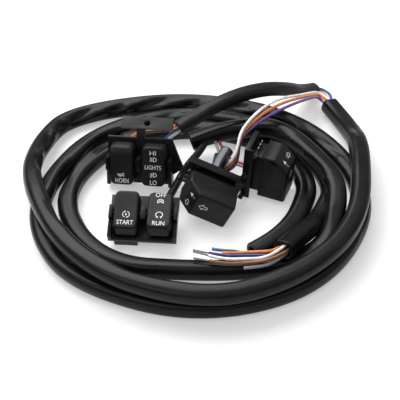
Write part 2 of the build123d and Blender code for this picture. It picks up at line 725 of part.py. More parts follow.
def headings(points):
    """The direction of travel at each point, level with its neighbours."""
    ways = [(after - before).normalized() for before, after in zip(points, points[2:])]
    first = (points[1] - points[0]).normalized()
    last = (points[-1] - points[-2]).normalized()
    start = (first * (2 * first.dot(ways[0])) - ways[0]).normalized()
    end = (last * (2 * last.dot(ways[-1])) - ways[-1]).normalized()
    return [start, *ways, end]


def biarc(start, way_in, end, way_out):
    """Two arcs that join two points and keep both directions."""
    chord = end - start
    ways = way_in + way_out
    spread = 2 * (1 - way_in.dot(way_out))
    along = chord.dot(ways)
    reach = (math.sqrt(along**2 + spread * chord.dot(chord)) - along) / spread
    middle = (start + end + (way_in - way_out) * reach) * 0.5
    first = Edge.make_tangent_arc(start, way_in, middle)
    return [first, Edge.make_tangent_arc(middle, first % 1, end)]


def wound_path(points, lead):
    """One path of biarcs through the points, with a straight lead at each end."""
    ways = headings(points)
    edges = [Edge.make_line(points[0] - ways[0] * lead, points[0])]
    for place in range(len(points) - 1):
        edges += biarc(points[place], ways[place], points[place + 1], ways[place + 1])
    edges.append(Edge.make_line(points[-1], points[-1] + ways[-1] * lead))
    return Wire(edges)


def along(path, diameter):
    """A solid round cord along a path."""
    section = Plane(origin=path @ 0, z_dir=path % 0) * Circle(diameter / 2)
    cord = sweep(section, path=path)
    filled = cord.volume / (math.pi * diameter**2 / 4 * path.length)
    print(f"  cord {diameter} mm thick, {path.length:.0f} mm long, volume share {filled:.3f}")
    return cord


def open_ends(cord, path, bore):
    """The cord with a blind bore in each cut end, where its wires come out."""
    for end, way in ((path @ 0, path % 0), (path @ 1, path % 1 * -1)):
        mouth = Plane(origin=end - way * OVERRUN, z_dir=way)
        cord -= mouth * seat(Cylinder(bore / 2, BORE_DEPTH + OVERRUN), z=(BORE_DEPTH + OVERRUN) / 2)
    return cord


def least_gap(name, path, other=None):
    """Prints the least gap between a wound sheath and itself or another one."""
    mine = [path @ (step / GAP_SAMPLES) for step in range(GAP_SAMPLES + 1)]
    theirs = mine if other is None else [other @ (step / GAP_SAMPLES) for step in range(GAP_SAMPLES + 1)]
    apart = math.ceil(3 * SHEATH_DIAMETER / path.length * GAP_SAMPLES)
    gap = min(
        (a - b).length
        for i, a in enumerate(mine)
        for j, b in enumerate(theirs)
        if other is not None or j - i > apart
    )
    print(f"  least gap of {name}: {gap - SHEATH_DIAMETER:.2f} mm")


def bend_radii(points):
    """The largest even radius that each corner's two runs leave room for."""
    radii = []
    for before, corner, after in zip(points, points[1:], points[2:]):
        run_in, run_out = corner - before, after - corner
        half_turn = math.radians(run_in.get_angle(run_out)) / 2
        radii.append(0.45 * min(run_in.length, run_out.length) / math.tan(half_turn))
    return radii


def laid_path(name, route):
    """Straight runs joined by arcs through a free cord's points."""
    points = [Vector(*point) for point in route]
    radii = bend_radii(points)
    print(f"  {name}: bend radii", [round(radius, 1) for radius in radii])
    return Wire(FilletPolyline(*points, radius=radii).edges())


def beside(route, across, above):
    """A route moved sideways and upwards, square to its own direction and wider at its corners."""
    points = [Vector(*point) for point in route]
    runs = [after - before for before, after in zip(points, points[1:])]
    moved = []
    for point, run_in, run_out in zip(points, [runs[0], *runs], [*runs, runs[-1]]):
        way = run_in.normalized() + run_out.normalized()
        corner = math.cos(math.radians(run_in.get_angle(run_out)) / 2)
        moved.append(point + square_offset(way, across, above) * (1 / corner))
    return moved


def square_offset(way, across, above):
    """An offset to the right of a direction and upwards, square to it."""
    side = way.cross(Vector(0, 0, 1)).normalized()
    return side * across + side.cross(way).normalized() * above


def on_circle(circle, bearing):
    """Across and above of a wire that lies on a circle."""
    return circle * math.cos(math.radians(bearing)), circle * math.sin(math.radians(bearing))


def out_of(end, way, circle, bearing):
    """Two places of a wire in a mouth: at the bottom of its bore, and straight out of it."""
    offset = square_offset(way, *on_circle(circle, bearing))
    return [end - way * (BORE_DEPTH - TOUCH_GAP) + offset, end + way * EXIT_LEAD + offset]


def bundled(end, way, circle, bearing, route):
    """Places of one wire of a bundle that leaves a mouth and keeps its place in the bundle."""
    middle = [end - way * (BORE_DEPTH - TOUCH_GAP), end + way * EXIT_LEAD, *route]
    return beside(middle, *on_circle(circle, bearing))


def onto_tag(place, spot):
    """Two places of a wire that comes down behind a switch onto one of its tags."""
    x, y = spot
    z = -PLATE_THICKNESS - SWITCH_DEPTH - TAG_LENGTH / 2
    tip = place * Pos(x, y + TAG_THICKNESS / 2, z)
    above = place * Pos(x, y + TAG_THICKNESS / 2 + TAG_APPROACH, z)
    return [above.position, tip.position]


def into_plate(place, mirrored, right, up):
    """Two places of a wire that goes through a turn plate's opening to the contact board."""
    x, y = WIRE_OPENING_SPOT
    x = -x if mirrored else x
    board = place * Pos(x + right, y + up, -HOUSING_DEPTH)
    before = place * Pos(x + right, y + up, back_face() - PLATE_APPROACH)
    return [before.position, board.position]


def sheath_paths():
    """The middle lines of both wound sheaths."""
    left = wound_path(coil_points(LEFT_TURNS), SHEATH_DIAMETER)
    right = wound_path(coil_points(RIGHT_TURNS), SHEATH_DIAMETER)
    return left, right


def side_opening(cord, opening):
    """The cord with a round opening through its side."""
    spot, way, width, start = opening
    cut = Plane(origin=spot, z_dir=way) * rod(width, start, SHEATH_DIAMETER)
    return cord - cut


def wound_sheaths(left, right):
    """Both long sheaths, wound in one coil."""
    least_gap("the left sheath to itself", left)
    least_gap("the right sheath to itself", right)
    least_gap("the left sheath to the right one", left, right)
    wound = open_ends(along(right, SHEATH_DIAMETER), right, SHEATH_BORE)
    for opening in (BRANCH_EXIT, WIRES_EXIT):
        wound = side_opening(wound, opening)
    return {
        "left_harness_sheath": open_ends(along(left, SHEATH_DIAMETER), left, SHEATH_BORE),
        "right_harness_sheath": wound,
    }


def wire(name, route):
    """A single insulated wire."""
    return along(laid_path(name, route), WIRE_DIAMETER)


def pair_wires(arch, place):
    """The wires out of the arched sheath, down to the tags of the horn module."""
    end, way = arch @ 0, arch % 0 * -1
    spots = pair_tag_spots(-1)
    nodes = {}
    for names, route, owner in (
        (HORN_WIRES, HORN_ROUTE, "horn"),
        (LIGHTS_WIRES, LIGHTS_ROUTE, "lights"),
    ):
        for (colour, bearing), spot in zip(names.items(), spots[:2] if owner == "horn" else spots[2:]):
            places = bundled(end, way, FOUR_WIRE_CIRCLE, bearing, route) + onto_tag(place, spot)
            nodes[f"{owner}_{colour}_wire"] = wire(f"{owner} {colour} wire", places)
    return nodes


def left_mouth_wires(left, arch, place):
    """The five wires out of the left sheath: three to the turn signal, two to the arch."""
    end, way = left @ 0, left % 0 * -1
    nodes = {}
    centre = out_of(end, way, 0, 0) + FEED_ROUTE + into_plate(place, False, 0, 0)
    for colour, (bearing, side) in FEED_WIRES.items():
        middle = [
            beside(centre, *on_circle(side * spread, fan))[step + 2]
            for step, (spread, fan) in enumerate(FEED_FAN)
        ]
        places = out_of(end, way, FIVE_WIRE_CIRCLE, bearing) + middle
        places += into_plate(place, False, *on_circle(side * OPENING_SPREAD, OPENING_BEARING))
        nodes[f"left_turn_{colour}_wire"] = wire(f"left turn {colour} wire", places)
    for colour, (bearing, far_bearing) in LINK_WIRES.items():
        straight = out_of(end, way, 0, 0) + LINK_ROUTE + out_of(arch @ 1, arch % 1, 0, 0)[::-1]
        middle = beside(straight, on_circle(FIVE_WIRE_CIRCLE, bearing)[0], 0)[2:-1]
        inside = out_of(arch @ 1, arch % 1, TWO_WIRE_CIRCLE, far_bearing)[0]
        places = out_of(end, way, FIVE_WIRE_CIRCLE, bearing) + middle + [inside]
        nodes[f"arch_{colour}_wire"] = wire(f"arch {colour} wire", places)
    return nodes


def right_feed_wires(place):
    """The wires out of the right sheath's side to the right turn signal."""
    nodes = {}
    for colour, across in RIGHT_FEED_WIRES.items():
        places = beside(RIGHT_FEED_ROUTE, across, 0) + into_plate(place, True, 0, across)
        nodes[f"right_turn_{colour}_wire"] = wire(f"right turn {colour} wire", places)
    return nodes


def branch_cable(place):
    """The branch cable, and the four thin wires out of its end to the start and run tags."""
    path = laid_path("branch cable", BRANCH_ROUTE)
    end, way = path @ 1, path % 1
    wires = []
    for spot, bearing in zip(pair_tag_spots(-1), BRANCH_BEARINGS):
        offset = square_offset(way, *on_circle(BRANCH_WIRE, bearing))
        lead = [end + offset, end + way * EXIT_LEAD + offset]
        thin = laid_path("branch wire", lead + onto_tag(place, spot))
        wires.append(along(thin, BRANCH_WIRE))
    return {"branch_cable": along(path, BRANCH_DIAMETER), "branch_wires": group(wires)}


def lead_wires(left, right):
    """The free wires at both sheaths' inner ends, and the bare strands on some of them."""
    nodes, strands = {}, []
    for colour, (bearing, route) in LEFT_LEADS.items():
        places = out_of(left @ 1, left % 1, FIVE_WIRE_CIRCLE, bearing) + route
        path = laid_path(f"lead {colour} wire", places)
        nodes[f"lead_{colour}_wire"] = along(path, WIRE_DIAMETER)
        if colour in STRIPPED:
            strands.append(Plane(origin=path @ 1, z_dir=path % 1) * rod(STRAND_DIAMETER, 0, STRAND_LENGTH))
    for colour, route in RIGHT_LEADS.items():
        places = out_of(right @ 1, right % 1, 0, 0) + route
        nodes[f"lead_{colour}_wire"] = wire(f"lead {colour} wire", places)
    return nodes | {"stripped_strands": group(strands)}


def turn_sleeve(place):
    """The hollow sleeve that stands behind the left turn signal's plate."""
    base = place * Pos(*SLEEVE_SEAT, -HOUSING_DEPTH - MOUNT_THICKNESS)
    lead = place * Pos(*SLEEVE_SEAT, -HOUSING_DEPTH - MOUNT_THICKNESS - SLEEVE_LEAD)
    path = laid_path("left turn sleeve", [base.position, lead.position, SLEEVE_END])
    return {"left_turn_sleeve": along(path, SLEEVE_DIAMETER) - along(path, SLEEVE_BORE)}


def harness(places):
    """Every cord of the harness where it lies."""
    left, right = sheath_paths()
    arch = laid_path("arch", ARCH_ROUTE)
    nodes = wound_sheaths(left, right)
    nodes["arch_sheath"] = open_ends(along(arch, ARCH_DIAMETER), arch, ARCH_BORE)
    nodes |= left_mouth_wires(left, arch, places["left_turn"])
    nodes |= pair_wires(arch, places["horn"])
    nodes |= right_feed_wires(places["right_turn"])
    nodes |= branch_cable(places["start"])
    nodes |= lead_wires(left, right)
    return nodes | turn_sleeve(places["left_turn"])


def cluster():
    """Every node where it lies, about the middle of the four modules' footprint."""
    made = modules()
    gathered = {}
    for pieces, place in made.values():
        for name, piece in pieces.items():
            gathered.setdefault(name, []).append(place * piece)
    nodes = {name: found[0] if len(found) == 1 else group(found) for name, found in gathered.items()}
    middle = group(nodes.values()).bounding_box().center()
    nodes |= harness({name: place for name, (pieces, place) in made.items()})
    home = Pos(-middle.X, -middle.Y, 0)
    print("  moved by", -middle.X, -middle.Y)
    return {name: home * piece for name, piece in nodes.items()}


def main():
    os.makedirs("parts", exist_ok=True)
    for name, piece in cluster().items():
        export_step(piece, f"parts/{name}.step")


if __name__ == "__main__":
    main()
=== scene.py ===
import math

import bmesh
import bpy
import numpy as np
from mathutils import Matrix, Vector


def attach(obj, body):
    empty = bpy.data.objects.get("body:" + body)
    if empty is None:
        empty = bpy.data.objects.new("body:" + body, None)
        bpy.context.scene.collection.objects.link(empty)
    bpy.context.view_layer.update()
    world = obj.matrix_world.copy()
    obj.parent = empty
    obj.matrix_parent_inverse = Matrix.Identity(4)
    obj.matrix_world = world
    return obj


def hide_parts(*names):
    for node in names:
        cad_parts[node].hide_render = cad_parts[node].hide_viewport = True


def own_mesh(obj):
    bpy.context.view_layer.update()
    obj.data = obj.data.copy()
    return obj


# Handlebar switch cluster: four black switch modules inside a loose coil of two sheathed harnesses.
# Lengths in the tables are millimetres and are made metres when a mesh is filled.

MM = 0.001

# The whole cluster lies this far from the places that the tables give
HOME = np.array([-0.1785, 5.0258, 0.0])

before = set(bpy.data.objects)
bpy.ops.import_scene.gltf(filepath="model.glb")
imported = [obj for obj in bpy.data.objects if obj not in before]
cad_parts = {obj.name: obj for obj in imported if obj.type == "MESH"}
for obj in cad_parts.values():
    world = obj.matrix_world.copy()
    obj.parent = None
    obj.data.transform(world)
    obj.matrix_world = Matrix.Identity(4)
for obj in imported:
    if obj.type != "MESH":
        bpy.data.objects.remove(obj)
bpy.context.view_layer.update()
scene = bpy.context.scene


def metres(points):
    """Table places in millimetres as places of the frame in metres: (place + HOME) times 0.001."""
    return (np.asarray(points, dtype=float) + HOME) * MM


# Module frames


def module_frame(place, yaw, rise, roll):
    """The rotation and origin of a module.

    Its front looks along -y turned by yaw and raised by rise:
    (-sin yaw cos rise, -cos yaw cos rise, sin rise).
    Its right hand is (cos yaw, -sin yaw, 0) turned about the front by roll.
    """
    turn, up = math.radians(yaw), math.radians(rise)
    front = Vector((-math.sin(turn) * math.cos(up), -math.cos(turn) * math.cos(up), math.sin(up)))
    right = Matrix.Rotation(math.radians(roll), 3, front) @ Vector((math.cos(turn), -math.sin(turn), 0))
    return np.array([right, front.cross(right), front]), np.array(place, dtype=float)


HORN_FRAME = module_frame((-31.0, 14.8, 14.316), 9.0, 18.0, 2.5)
START_FRAME = module_frame((-28.0, -24.8, 10.104), 4.0, 69.0, 0.0)
LEFT_TURN_FRAME = module_frame((4.6, -10.2, 13.531), 8.7, -2.7, -23.6)
RIGHT_TURN_FRAME = module_frame((35.8, 6.8, 15.268), -70.0, -3.0, 88.0)


def in_module(module, points):
    """Places in a module's own frame, in millimetres, as table places."""
    axes, origin = module
    return np.asarray(points, dtype=float) @ axes + origin


# Materials


class NodeTree:
    """A tree of shader nodes, with short ways to add to it."""

    def __init__(self, tree):
        self.nodes, self.links = tree.nodes, tree.links

    def feed(self, socket, value):
        """Links a socket to an output, or sets it to a number, a vector or a colour."""
        if isinstance(value, bpy.types.NodeSocket):
            self.links.new(value, socket)
        else:
            socket.default_value = (*value, 1.0) if socket.type == "RGBA" else value

    def add(self, kind, feeds=None, **settings):
        """A new node with its settings and what feeds its inputs."""
        node = self.nodes.new(kind)
        for key, value in settings.items():
            setattr(node, key, value)
        for key, value in (feeds or {}).items():
            self.feed(node.inputs[key], value)
        return node

    def spread(self, value, low, high, to_low, to_high):
        """A value carried from one range onto another, and held at its ends."""
        feeds = {"Value": value, "From Min": low, "From Max": high, "To Min": to_low, "To Max": to_high}
        return self.add("ShaderNodeMapRange", feeds).outputs["Result"]


class Paint(NodeTree):
    """A node material whose pattern reads Object coordinates, or a UV map where one is named.

    A pattern's scale counts its clouds in a metre, and a bump's depth is in metres.
    """

    def __init__(self, name, uv=None):
        self.material = bpy.data.materials.new(name)
        self.material.use_nodes = True
        super().__init__(self.material.node_tree)
        self.shader = self.nodes["Principled BSDF"]
        if uv:
            self.place = self.add("ShaderNodeUVMap", uv_map=uv).outputs["UV"]
        else:
            self.place = self.add("ShaderNodeTexCoord").outputs["Object"]

    def noise(self, scale, detail=3.0, roughness=0.55):
        """A cloudy pattern with one scale, or with one for each axis."""
        place = self.place
        if isinstance(scale, tuple):
            place = self.add("ShaderNodeMapping", {"Vector": place, "Scale": scale}).outputs["Vector"]
            scale = 1.0
        feeds = {"Vector": place, "Scale": scale, "Detail": detail, "Roughness": roughness}
        return self.add("ShaderNodeTexNoise", feeds).outputs["Fac"]

    def blend(self, pattern, low, high, first, second, most=1.0):
        """A colour that goes from one towards another while a pattern rises from low to high."""
        feeds = {"Factor": self.spread(pattern, low, high, 0.0, most), "A": first, "B": second}
        return self.add("ShaderNodeMix", feeds, data_type="RGBA").outputs["Result"]

    def colour(self, *blend):
        self.feed(self.shader.inputs["Base Color"], self.blend(*blend))

    def rough(self, pattern, low, high):
        """Roughness between low and high, by the middle of a pattern's range."""
        self.feed(self.shader.inputs["Roughness"], self.spread(pattern, 0.3, 0.7, low, high))

    def bumps(self, height, depth, below=None):
        """Raises the surface by a pattern, on top of another bump."""
        feeds = {"Distance": depth, "Strength": 1.0, "Height": height}
        if below is not None:
            feeds["Normal"] = below
        normal = self.add("ShaderNodeBump", feeds).outputs["Normal"]
        self.feed(self.shader.inputs["Normal"], normal)
        return normal

    def gloss(self, specular, coat=0.0, coat_rough=0.1, metal=0.0):
        keys = ("Specular IOR Level", "Coat Weight", "Coat Roughness", "Metallic")
        for key, value in zip(keys, (specular, coat, coat_rough, metal)):
            self.shader.inputs[key].default_value = value


def moulded_plastic(name, dark, light, rough_low, rough_high, grain, specular):
    """Moulded plastic: a fine spark-eroded grain, faint clouds of wear and a few lighter specks."""
    paint = Paint(name)
    clouds = paint.noise(90.0, 4.0)
    worn = paint.blend(clouds, 0.35, 0.7, dark, light)
    dusty = tuple(channel * 2.2 + 0.004 for channel in light)
    paint.colour(paint.noise(2600.0, 2.0), 0.68, 0.78, worn, dusty, 0.5)
    paint.rough(paint.noise(160.0), rough_low, rough_high)
    coarse = paint.bumps(clouds, 0.00006)
    paint.bumps(paint.noise(5200.0, 2.0, 0.7), grain, coarse)
    paint.gloss(specular)
    return paint.material


def vinyl(name, dark, light, rough_low, rough_high, specular, coat):
    """Soft vinyl tube: lengthwise draw marks, fine wrinkles and thumbed patches, on the tube's own map."""
    paint = Paint(name, uv="tube")
    length_marks = paint.noise((26.0, 60.0, 1.0), 3.0, 0.6)
    patches = paint.noise((3.0, 55.0, 1.0), 4.0, 0.55)
    wrinkles = paint.noise((5.0, 420.0, 1.0), 3.0, 0.6)
    paint.colour(patches, 0.35, 0.7, dark, light)
    paint.rough(patches, rough_low, rough_high)
    soft = paint.bumps(patches, 0.00008)
    drawn = paint.bumps(length_marks, 0.00004, soft)
    paint.bumps(wrinkles, 0.000015, drawn)
    paint.gloss(specular, coat, 0.18)
    return paint.material


def wire_insulation(name, colour):
    """Smooth wire insulation with faint scuffs and uneven dye."""
    paint = Paint(name)
    pale = tuple(min(1.0, channel * 1.12 + 0.015) for channel in colour)
    deep = tuple(channel * 0.86 for channel in colour)
    paint.colour(paint.noise(420.0), 0.35, 0.65, deep, pale)
    paint.rough(paint.noise(900.0), 0.26, 0.42)
    paint.bumps(paint.noise(1500.0, 2.0), 0.00002)
    paint.gloss(0.5)
    return paint.material


def bright_metal(name, dark, light, rough_low, rough_high):
    """Drawn or stamped metal with fine scratches."""
    paint = Paint(name)
    scratches = paint.noise((400.0, 3000.0, 900.0), 4.0, 0.6)
    paint.colour(scratches, 0.35, 0.65, dark, light)
    paint.rough(scratches, rough_low, rough_high)
    paint.bumps(scratches, 0.00001)
    paint.gloss(0.5, metal=1.0)
    return paint.material


def printed_white():
    """Pad-printed white with a slightly uneven coat."""
    paint = Paint("print_white")
    thin = paint.noise(3200.0)
    paint.colour(thin, 0.3, 0.6, (0.6, 0.6, 0.6), (0.86, 0.86, 0.85))
    paint.rough(thin, 0.5, 0.65)
    paint.gloss(0.3)
    return paint.material


CAP_BLACK = moulded_plastic(
    "cap_black", (0.007, 0.007, 0.0073), (0.0115, 0.0115, 0.0118), 0.4, 0.5, 0.000016, 0.2
)
BODY_BLACK = moulded_plastic(
    "body_black", (0.003, 0.003, 0.0032), (0.006, 0.006, 0.0063), 0.3, 0.42, 0.00001, 0.16
)
PLATE_BLACK = moulded_plastic(
    "plate_black", (0.0035, 0.0035, 0.0037), (0.007, 0.007, 0.0072), 0.28, 0.42, 0.000012, 0.18
)
BAR_BLACK = moulded_plastic(
    "bar_black", (0.016, 0.017, 0.017), (0.024, 0.025, 0.025), 0.4, 0.52, 0.000012, 0.45
)
SHEATH_BLACK = vinyl(
    "sheath_black", (0.0035, 0.0038, 0.0038), (0.0075, 0.0085, 0.0083), 0.24, 0.34, 0.14, 0.04
)
ARCH_BLACK = vinyl("arch_black", (0.007, 0.0073, 0.0073), (0.012, 0.0125, 0.0125), 0.38, 0.5, 0.2, 0.0)
NAVY_SLEEVE = vinyl("navy_sleeve", (0.006, 0.01, 0.02), (0.01, 0.016, 0.032), 0.24, 0.36, 0.45, 0.1)
BOARD_BROWN = moulded_plastic(
    "board_brown", (0.07, 0.05, 0.025), (0.1, 0.075, 0.04), 0.45, 0.6, 0.000012, 0.4
)
PIN_STEEL = bright_metal("pin_steel", (0.42, 0.42, 0.43), (0.6, 0.6, 0.61), 0.22, 0.36)
TAG_BRASS = bright_metal("tag_brass", (0.2, 0.17, 0.1), (0.36, 0.31, 0.2), 0.34, 0.5)
TINNED = bright_metal("tinned_copper", (0.15, 0.14, 0.13), (0.34, 0.32, 0.3), 0.26, 0.4)
PRINT_WHITE = printed_white()

WIRE_COLOURS = {
    "orange": (0.62, 0.17, 0.035),
    "white": (0.8, 0.78, 0.76),
    "violet": (0.13, 0.05, 0.26),
    "blue": (0.02, 0.06, 0.28),
    "ochre": (0.45, 0.25, 0.03),
    "brown": (0.24, 0.085, 0.025),
    "red": (0.4, 0.06, 0.035),
    "grey": (0.3, 0.3, 0.31),
    "navy": (0.012, 0.025, 0.16),
    "teal": (0.06, 0.16, 0.2),
}
INSULATION = {colour: wire_insulation(f"{colour}_insulation", rgb) for colour, rgb in WIRE_COLOURS.items()}


# Mesh helpers


def placed(name, data):
    """A new object in the scene that holds a mesh, a lamp or a camera."""
    holder = bpy.data.objects.new(name, data)
    scene.collection.objects.link(holder)
    return holder


def stands_for(piece, node, body):
    """Makes a piece ride on a body in place of a solid."""
    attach(piece, body)
    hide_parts(node)


def unit(ways):
    """Directions brought to length one."""
    return ways / np.linalg.norm(ways, axis=-1, keepdims=True)


def points_of(mesh):
    """The places of a mesh's points, one to a row."""
    flat = np.empty(3 * len(mesh.vertices))
    mesh.vertices.foreach_get("co", flat)
    return flat.reshape(-1, 3)


def mesh_of(name, curve):
    """The mesh of a curve or a text, read through an object that is taken away again."""
    holder = bpy.data.objects.new(name, curve)
    mesh = bpy.data.meshes.new_from_object(holder)
    bpy.data.objects.remove(holder)
    return mesh


def filled(name, vertices, faces, material, smooth=True, uv=None):
    """An object at the origin whose mesh is filled from arrays, with an optional map for each corner."""
    mesh = bpy.data.meshes.new(name)
    mesh.from_pydata(vertices.tolist(), [], faces)
    mesh.materials.append(material)
    if uv is not None:
        mesh.uv_layers.new(name="tube").data.foreach_set("uv", uv.ravel())
    mesh.polygons.foreach_set("use_smooth", [smooth] * len(mesh.polygons))
    mesh.update()
    return placed(name, mesh)


def grid_faces(rings, around):
    """Quads of a grid that closes on itself around: ring i, step j joined to ring i + 1, step j + 1."""
    i, j = np.meshgrid(np.arange(rings - 1), np.arange(around), indexing="ij")
    k = (j + 1) % around
    quads = np.stack([i * around + j, i * around + k, (i + 1) * around + k, (i + 1) * around + j], axis=-1)
    return quads.reshape(-1, 4)


def smooth_line(name, points):
    """The smooth line of a cord: points read from a quadratic NURBS whose control points are its route's."""
    curve = bpy.data.curves.new(name, "CURVE")
    curve.dimensions = "3D"
    spline = curve.splines.new("NURBS")
    spline.points.add(len(points) - 1)
    places = metres(points)
    spline.points.foreach_set("co", np.hstack([places, np.ones((len(places), 1))]).ravel())
    spline.order_u = 3
    spline.use_endpoint_u = True
    spline.resolution_u = 24
    return points_of(mesh_of(name, curve))


def evenly(line, step):
    """A line's points spread evenly along its length, and how far along each one is."""
    runs = np.linalg.norm(np.diff(line, axis=0), axis=1)
    along = np.concatenate([[0.0], np.cumsum(runs)])
    places = np.linspace(0.0, along[-1], max(3, int(along[-1] / step)))
    points = np.stack([np.interp(places, along, line[:, axis]) for axis in range(3)], axis=1)
    return points, places


def tube(name, line, step, around, radius_of, material, bore=0.0, depth=0.0):
    """A tube carried along a line, with both cut ends open to a blind bore or closed where there is none.

    A point is centre(s) + r(s, a) (side(s) cos a + over(s) sin a), with r from radius_of(s, a),
    side = direction x up, and over = side x direction.
    At each end come rings (distance inwards, share of the skin's radius, share of the bore's), over the
    wall's edge, down inside the bore and across its round floor.
    """
    points, places = evenly(line, step)
    way = unit(np.gradient(points, axis=0))
    side = unit(np.cross(way, (0.0, 0.0, 1.0)))
    angles = np.linspace(0.0, 2 * math.pi, around, endpoint=False)
    spokes = side[:, None] * np.cos(angles)[:, None] + np.cross(side, way)[:, None] * np.sin(angles)[:, None]
    reach = radius_of(places[:, None], angles)
    steps = [(0.0, 0.5, 0.0), (0.0, 0.02, 0.0)]
    if bore:
        steps = [(0.0, 0.5, 0.5), (0.0, 0.0, 1.0), (depth * 0.5, 0.0, 1.0), (depth, 0.0, 1.0)]
        steps += [(depth, 0.0, 0.5), (depth, 0.0, 0.02)]
    cuts = []
    for end, inwards in ((0, 1), (-1, -1)):
        outer = reach[end]
        inner = bore * outer / outer.mean()
        cuts.append([
            points[end] + inwards * deep * way[end] + spokes[end] * (wall * outer + hole * inner)[:, None]
            for deep, wall, hole in steps
        ])
    rings = np.concatenate([cuts[0][::-1], points[:, None] + reach[..., None] * spokes, cuts[1]])
    lengths = np.pad(places, len(steps), mode="edge")
    count = len(rings)
    faces = grid_faces(count, around)
    ring, spoke = faces // around, faces % around
    wrap = np.where((spoke == 0) & (spoke[:, [0]] == around - 1), around, spoke)
    uv = np.stack([wrap / around, lengths[ring]], axis=-1).reshape(-1, 2)
    uv = np.concatenate([uv, np.zeros((2 * around, 2))])
    caps = [list(range(around))[::-1], list(range((count - 1) * around, count * around))]
    return filled(name, rings.reshape(-1, 3), faces.tolist() + caps, material, uv=uv), points


# Harness sheaths

COIL_CENTRE = (0.0, -4.0)
# Turns of each sheath as (bearing, distance from the coil's centre, height of its middle)
LEFT_TURNS = [
    (41.6, 102.4, 5.6), (33, 96.5, 7.8), (18.5, 87, 16), (-22, 80.5, 15.8), (-56, 78.5, 15.8),
    (-90, 79, 15.8), (-135, 77.5, 15.8), (-180, 84, 15.8), (-204, 92.5, 9),
    (-225, 96, 5.2), (-270, 77.5, 5.2), (-315, 79.5, 5.2), (-360, 83.5, 5.2),
    (-405, 80.2, 5.2), (-450, 76.5, 5.2), (-495, 81.5, 5.2), (-522, 83.5, 5.2),
    (-546, 79, 5.2), (-585, 73, 5.2), (-630, 66.4, 5.2), (-675, 66.5, 5.2),
    (-712, 69, 5.2), (-735, 61.9, 5.4), (-749, 60.6, 10.8), (-763, 61.8, 14.8),
]
RIGHT_TURNS = [
    (84, 41.5, 13), (66, 47.5, 15.6), (45, 60, 16.6), (4, 67, 16.4),
    (-14, 70.4, 14), (-29, 70.7, 6.2), (-42, 67.4, 5.2), (-60, 58, 5.2),
    (-90, 50.5, 5.2), (-135, 64.5, 5.2), (-180, 69, 5.2), (-225, 61.6, 5.2),
    (-270, 55.2, 5.2), (-315, 56, 5.2), (-348, 56.8, 5.2), (-372, 51.4, 5.2),
    (-388, 49.6, 5.2), (-405, 48.6, 5.2),
]
LEFT_MOUTHS = ((72.67, 73.19, 5.39), (40.04, -54.42, 16.82))
RIGHT_MOUTHS = ((-5.05, 34.84, 10.58), (26.0, -44.4, 5.2))
ARCH_ROUTE = [
    (-11.5, 27.0, 26.0), (2.5, 36.5, 30.2), (18.0, 47.6, 31.2), (34.0, 59.4, 27.4),
    (48.6, 70.6, 19.0), (57.6, 80.4, 9.6), (65.0, 88.6, 5.0),
]
SHEATH_RADIUS = 0.005
SHEATH_BORE = 0.0035
ARCH_RADIUS = 0.0038
ARCH_BORE = 0.0028
BORE_DEPTH = 0.006


def coil_points(turns, mouths):
    """The control points of a wound sheath, from its first mouth to its last.

    A quadratic spline runs inside its control points, by 0.75 + 0.25 cos(step) at each of them, so a
    turn's distance from the middle is divided by that share and the tube keeps the turn's real size.
    """
    bearings, reaches, heights = np.array(turns).T
    steps = np.abs(np.gradient(bearings))
    share = 0.75 + 0.25 * np.cos(np.radians(steps))
    share[[0, -1]] = 1.0
    out = reaches / share
    angles = np.radians(bearings)
    middle = np.stack([COIL_CENTRE[0] + out * np.cos(angles), COIL_CENTRE[1] + out * np.sin(angles), heights])
    return np.vstack([mouths[0], middle.T, mouths[1]])


def bump_of(x, width):
    """A round bump: e to the minus (x / width) squared."""
    return np.exp(-((x / width) ** 2))


def turned(angle):
    """An angle brought between minus half a turn and half a turn."""
    return (angle + math.pi) % (2 * math.pi) - math.pi


SIDE_SHARE = 0.042
# Folds along a sheath as (bearing around it, sway of that bearing, height, width)
FOLDS = [(2.3, 0.3, 0.07, 0.13), (0.6, 0.35, 0.08, 0.11), (4.2, 0.6, 0.06, 0.18)]


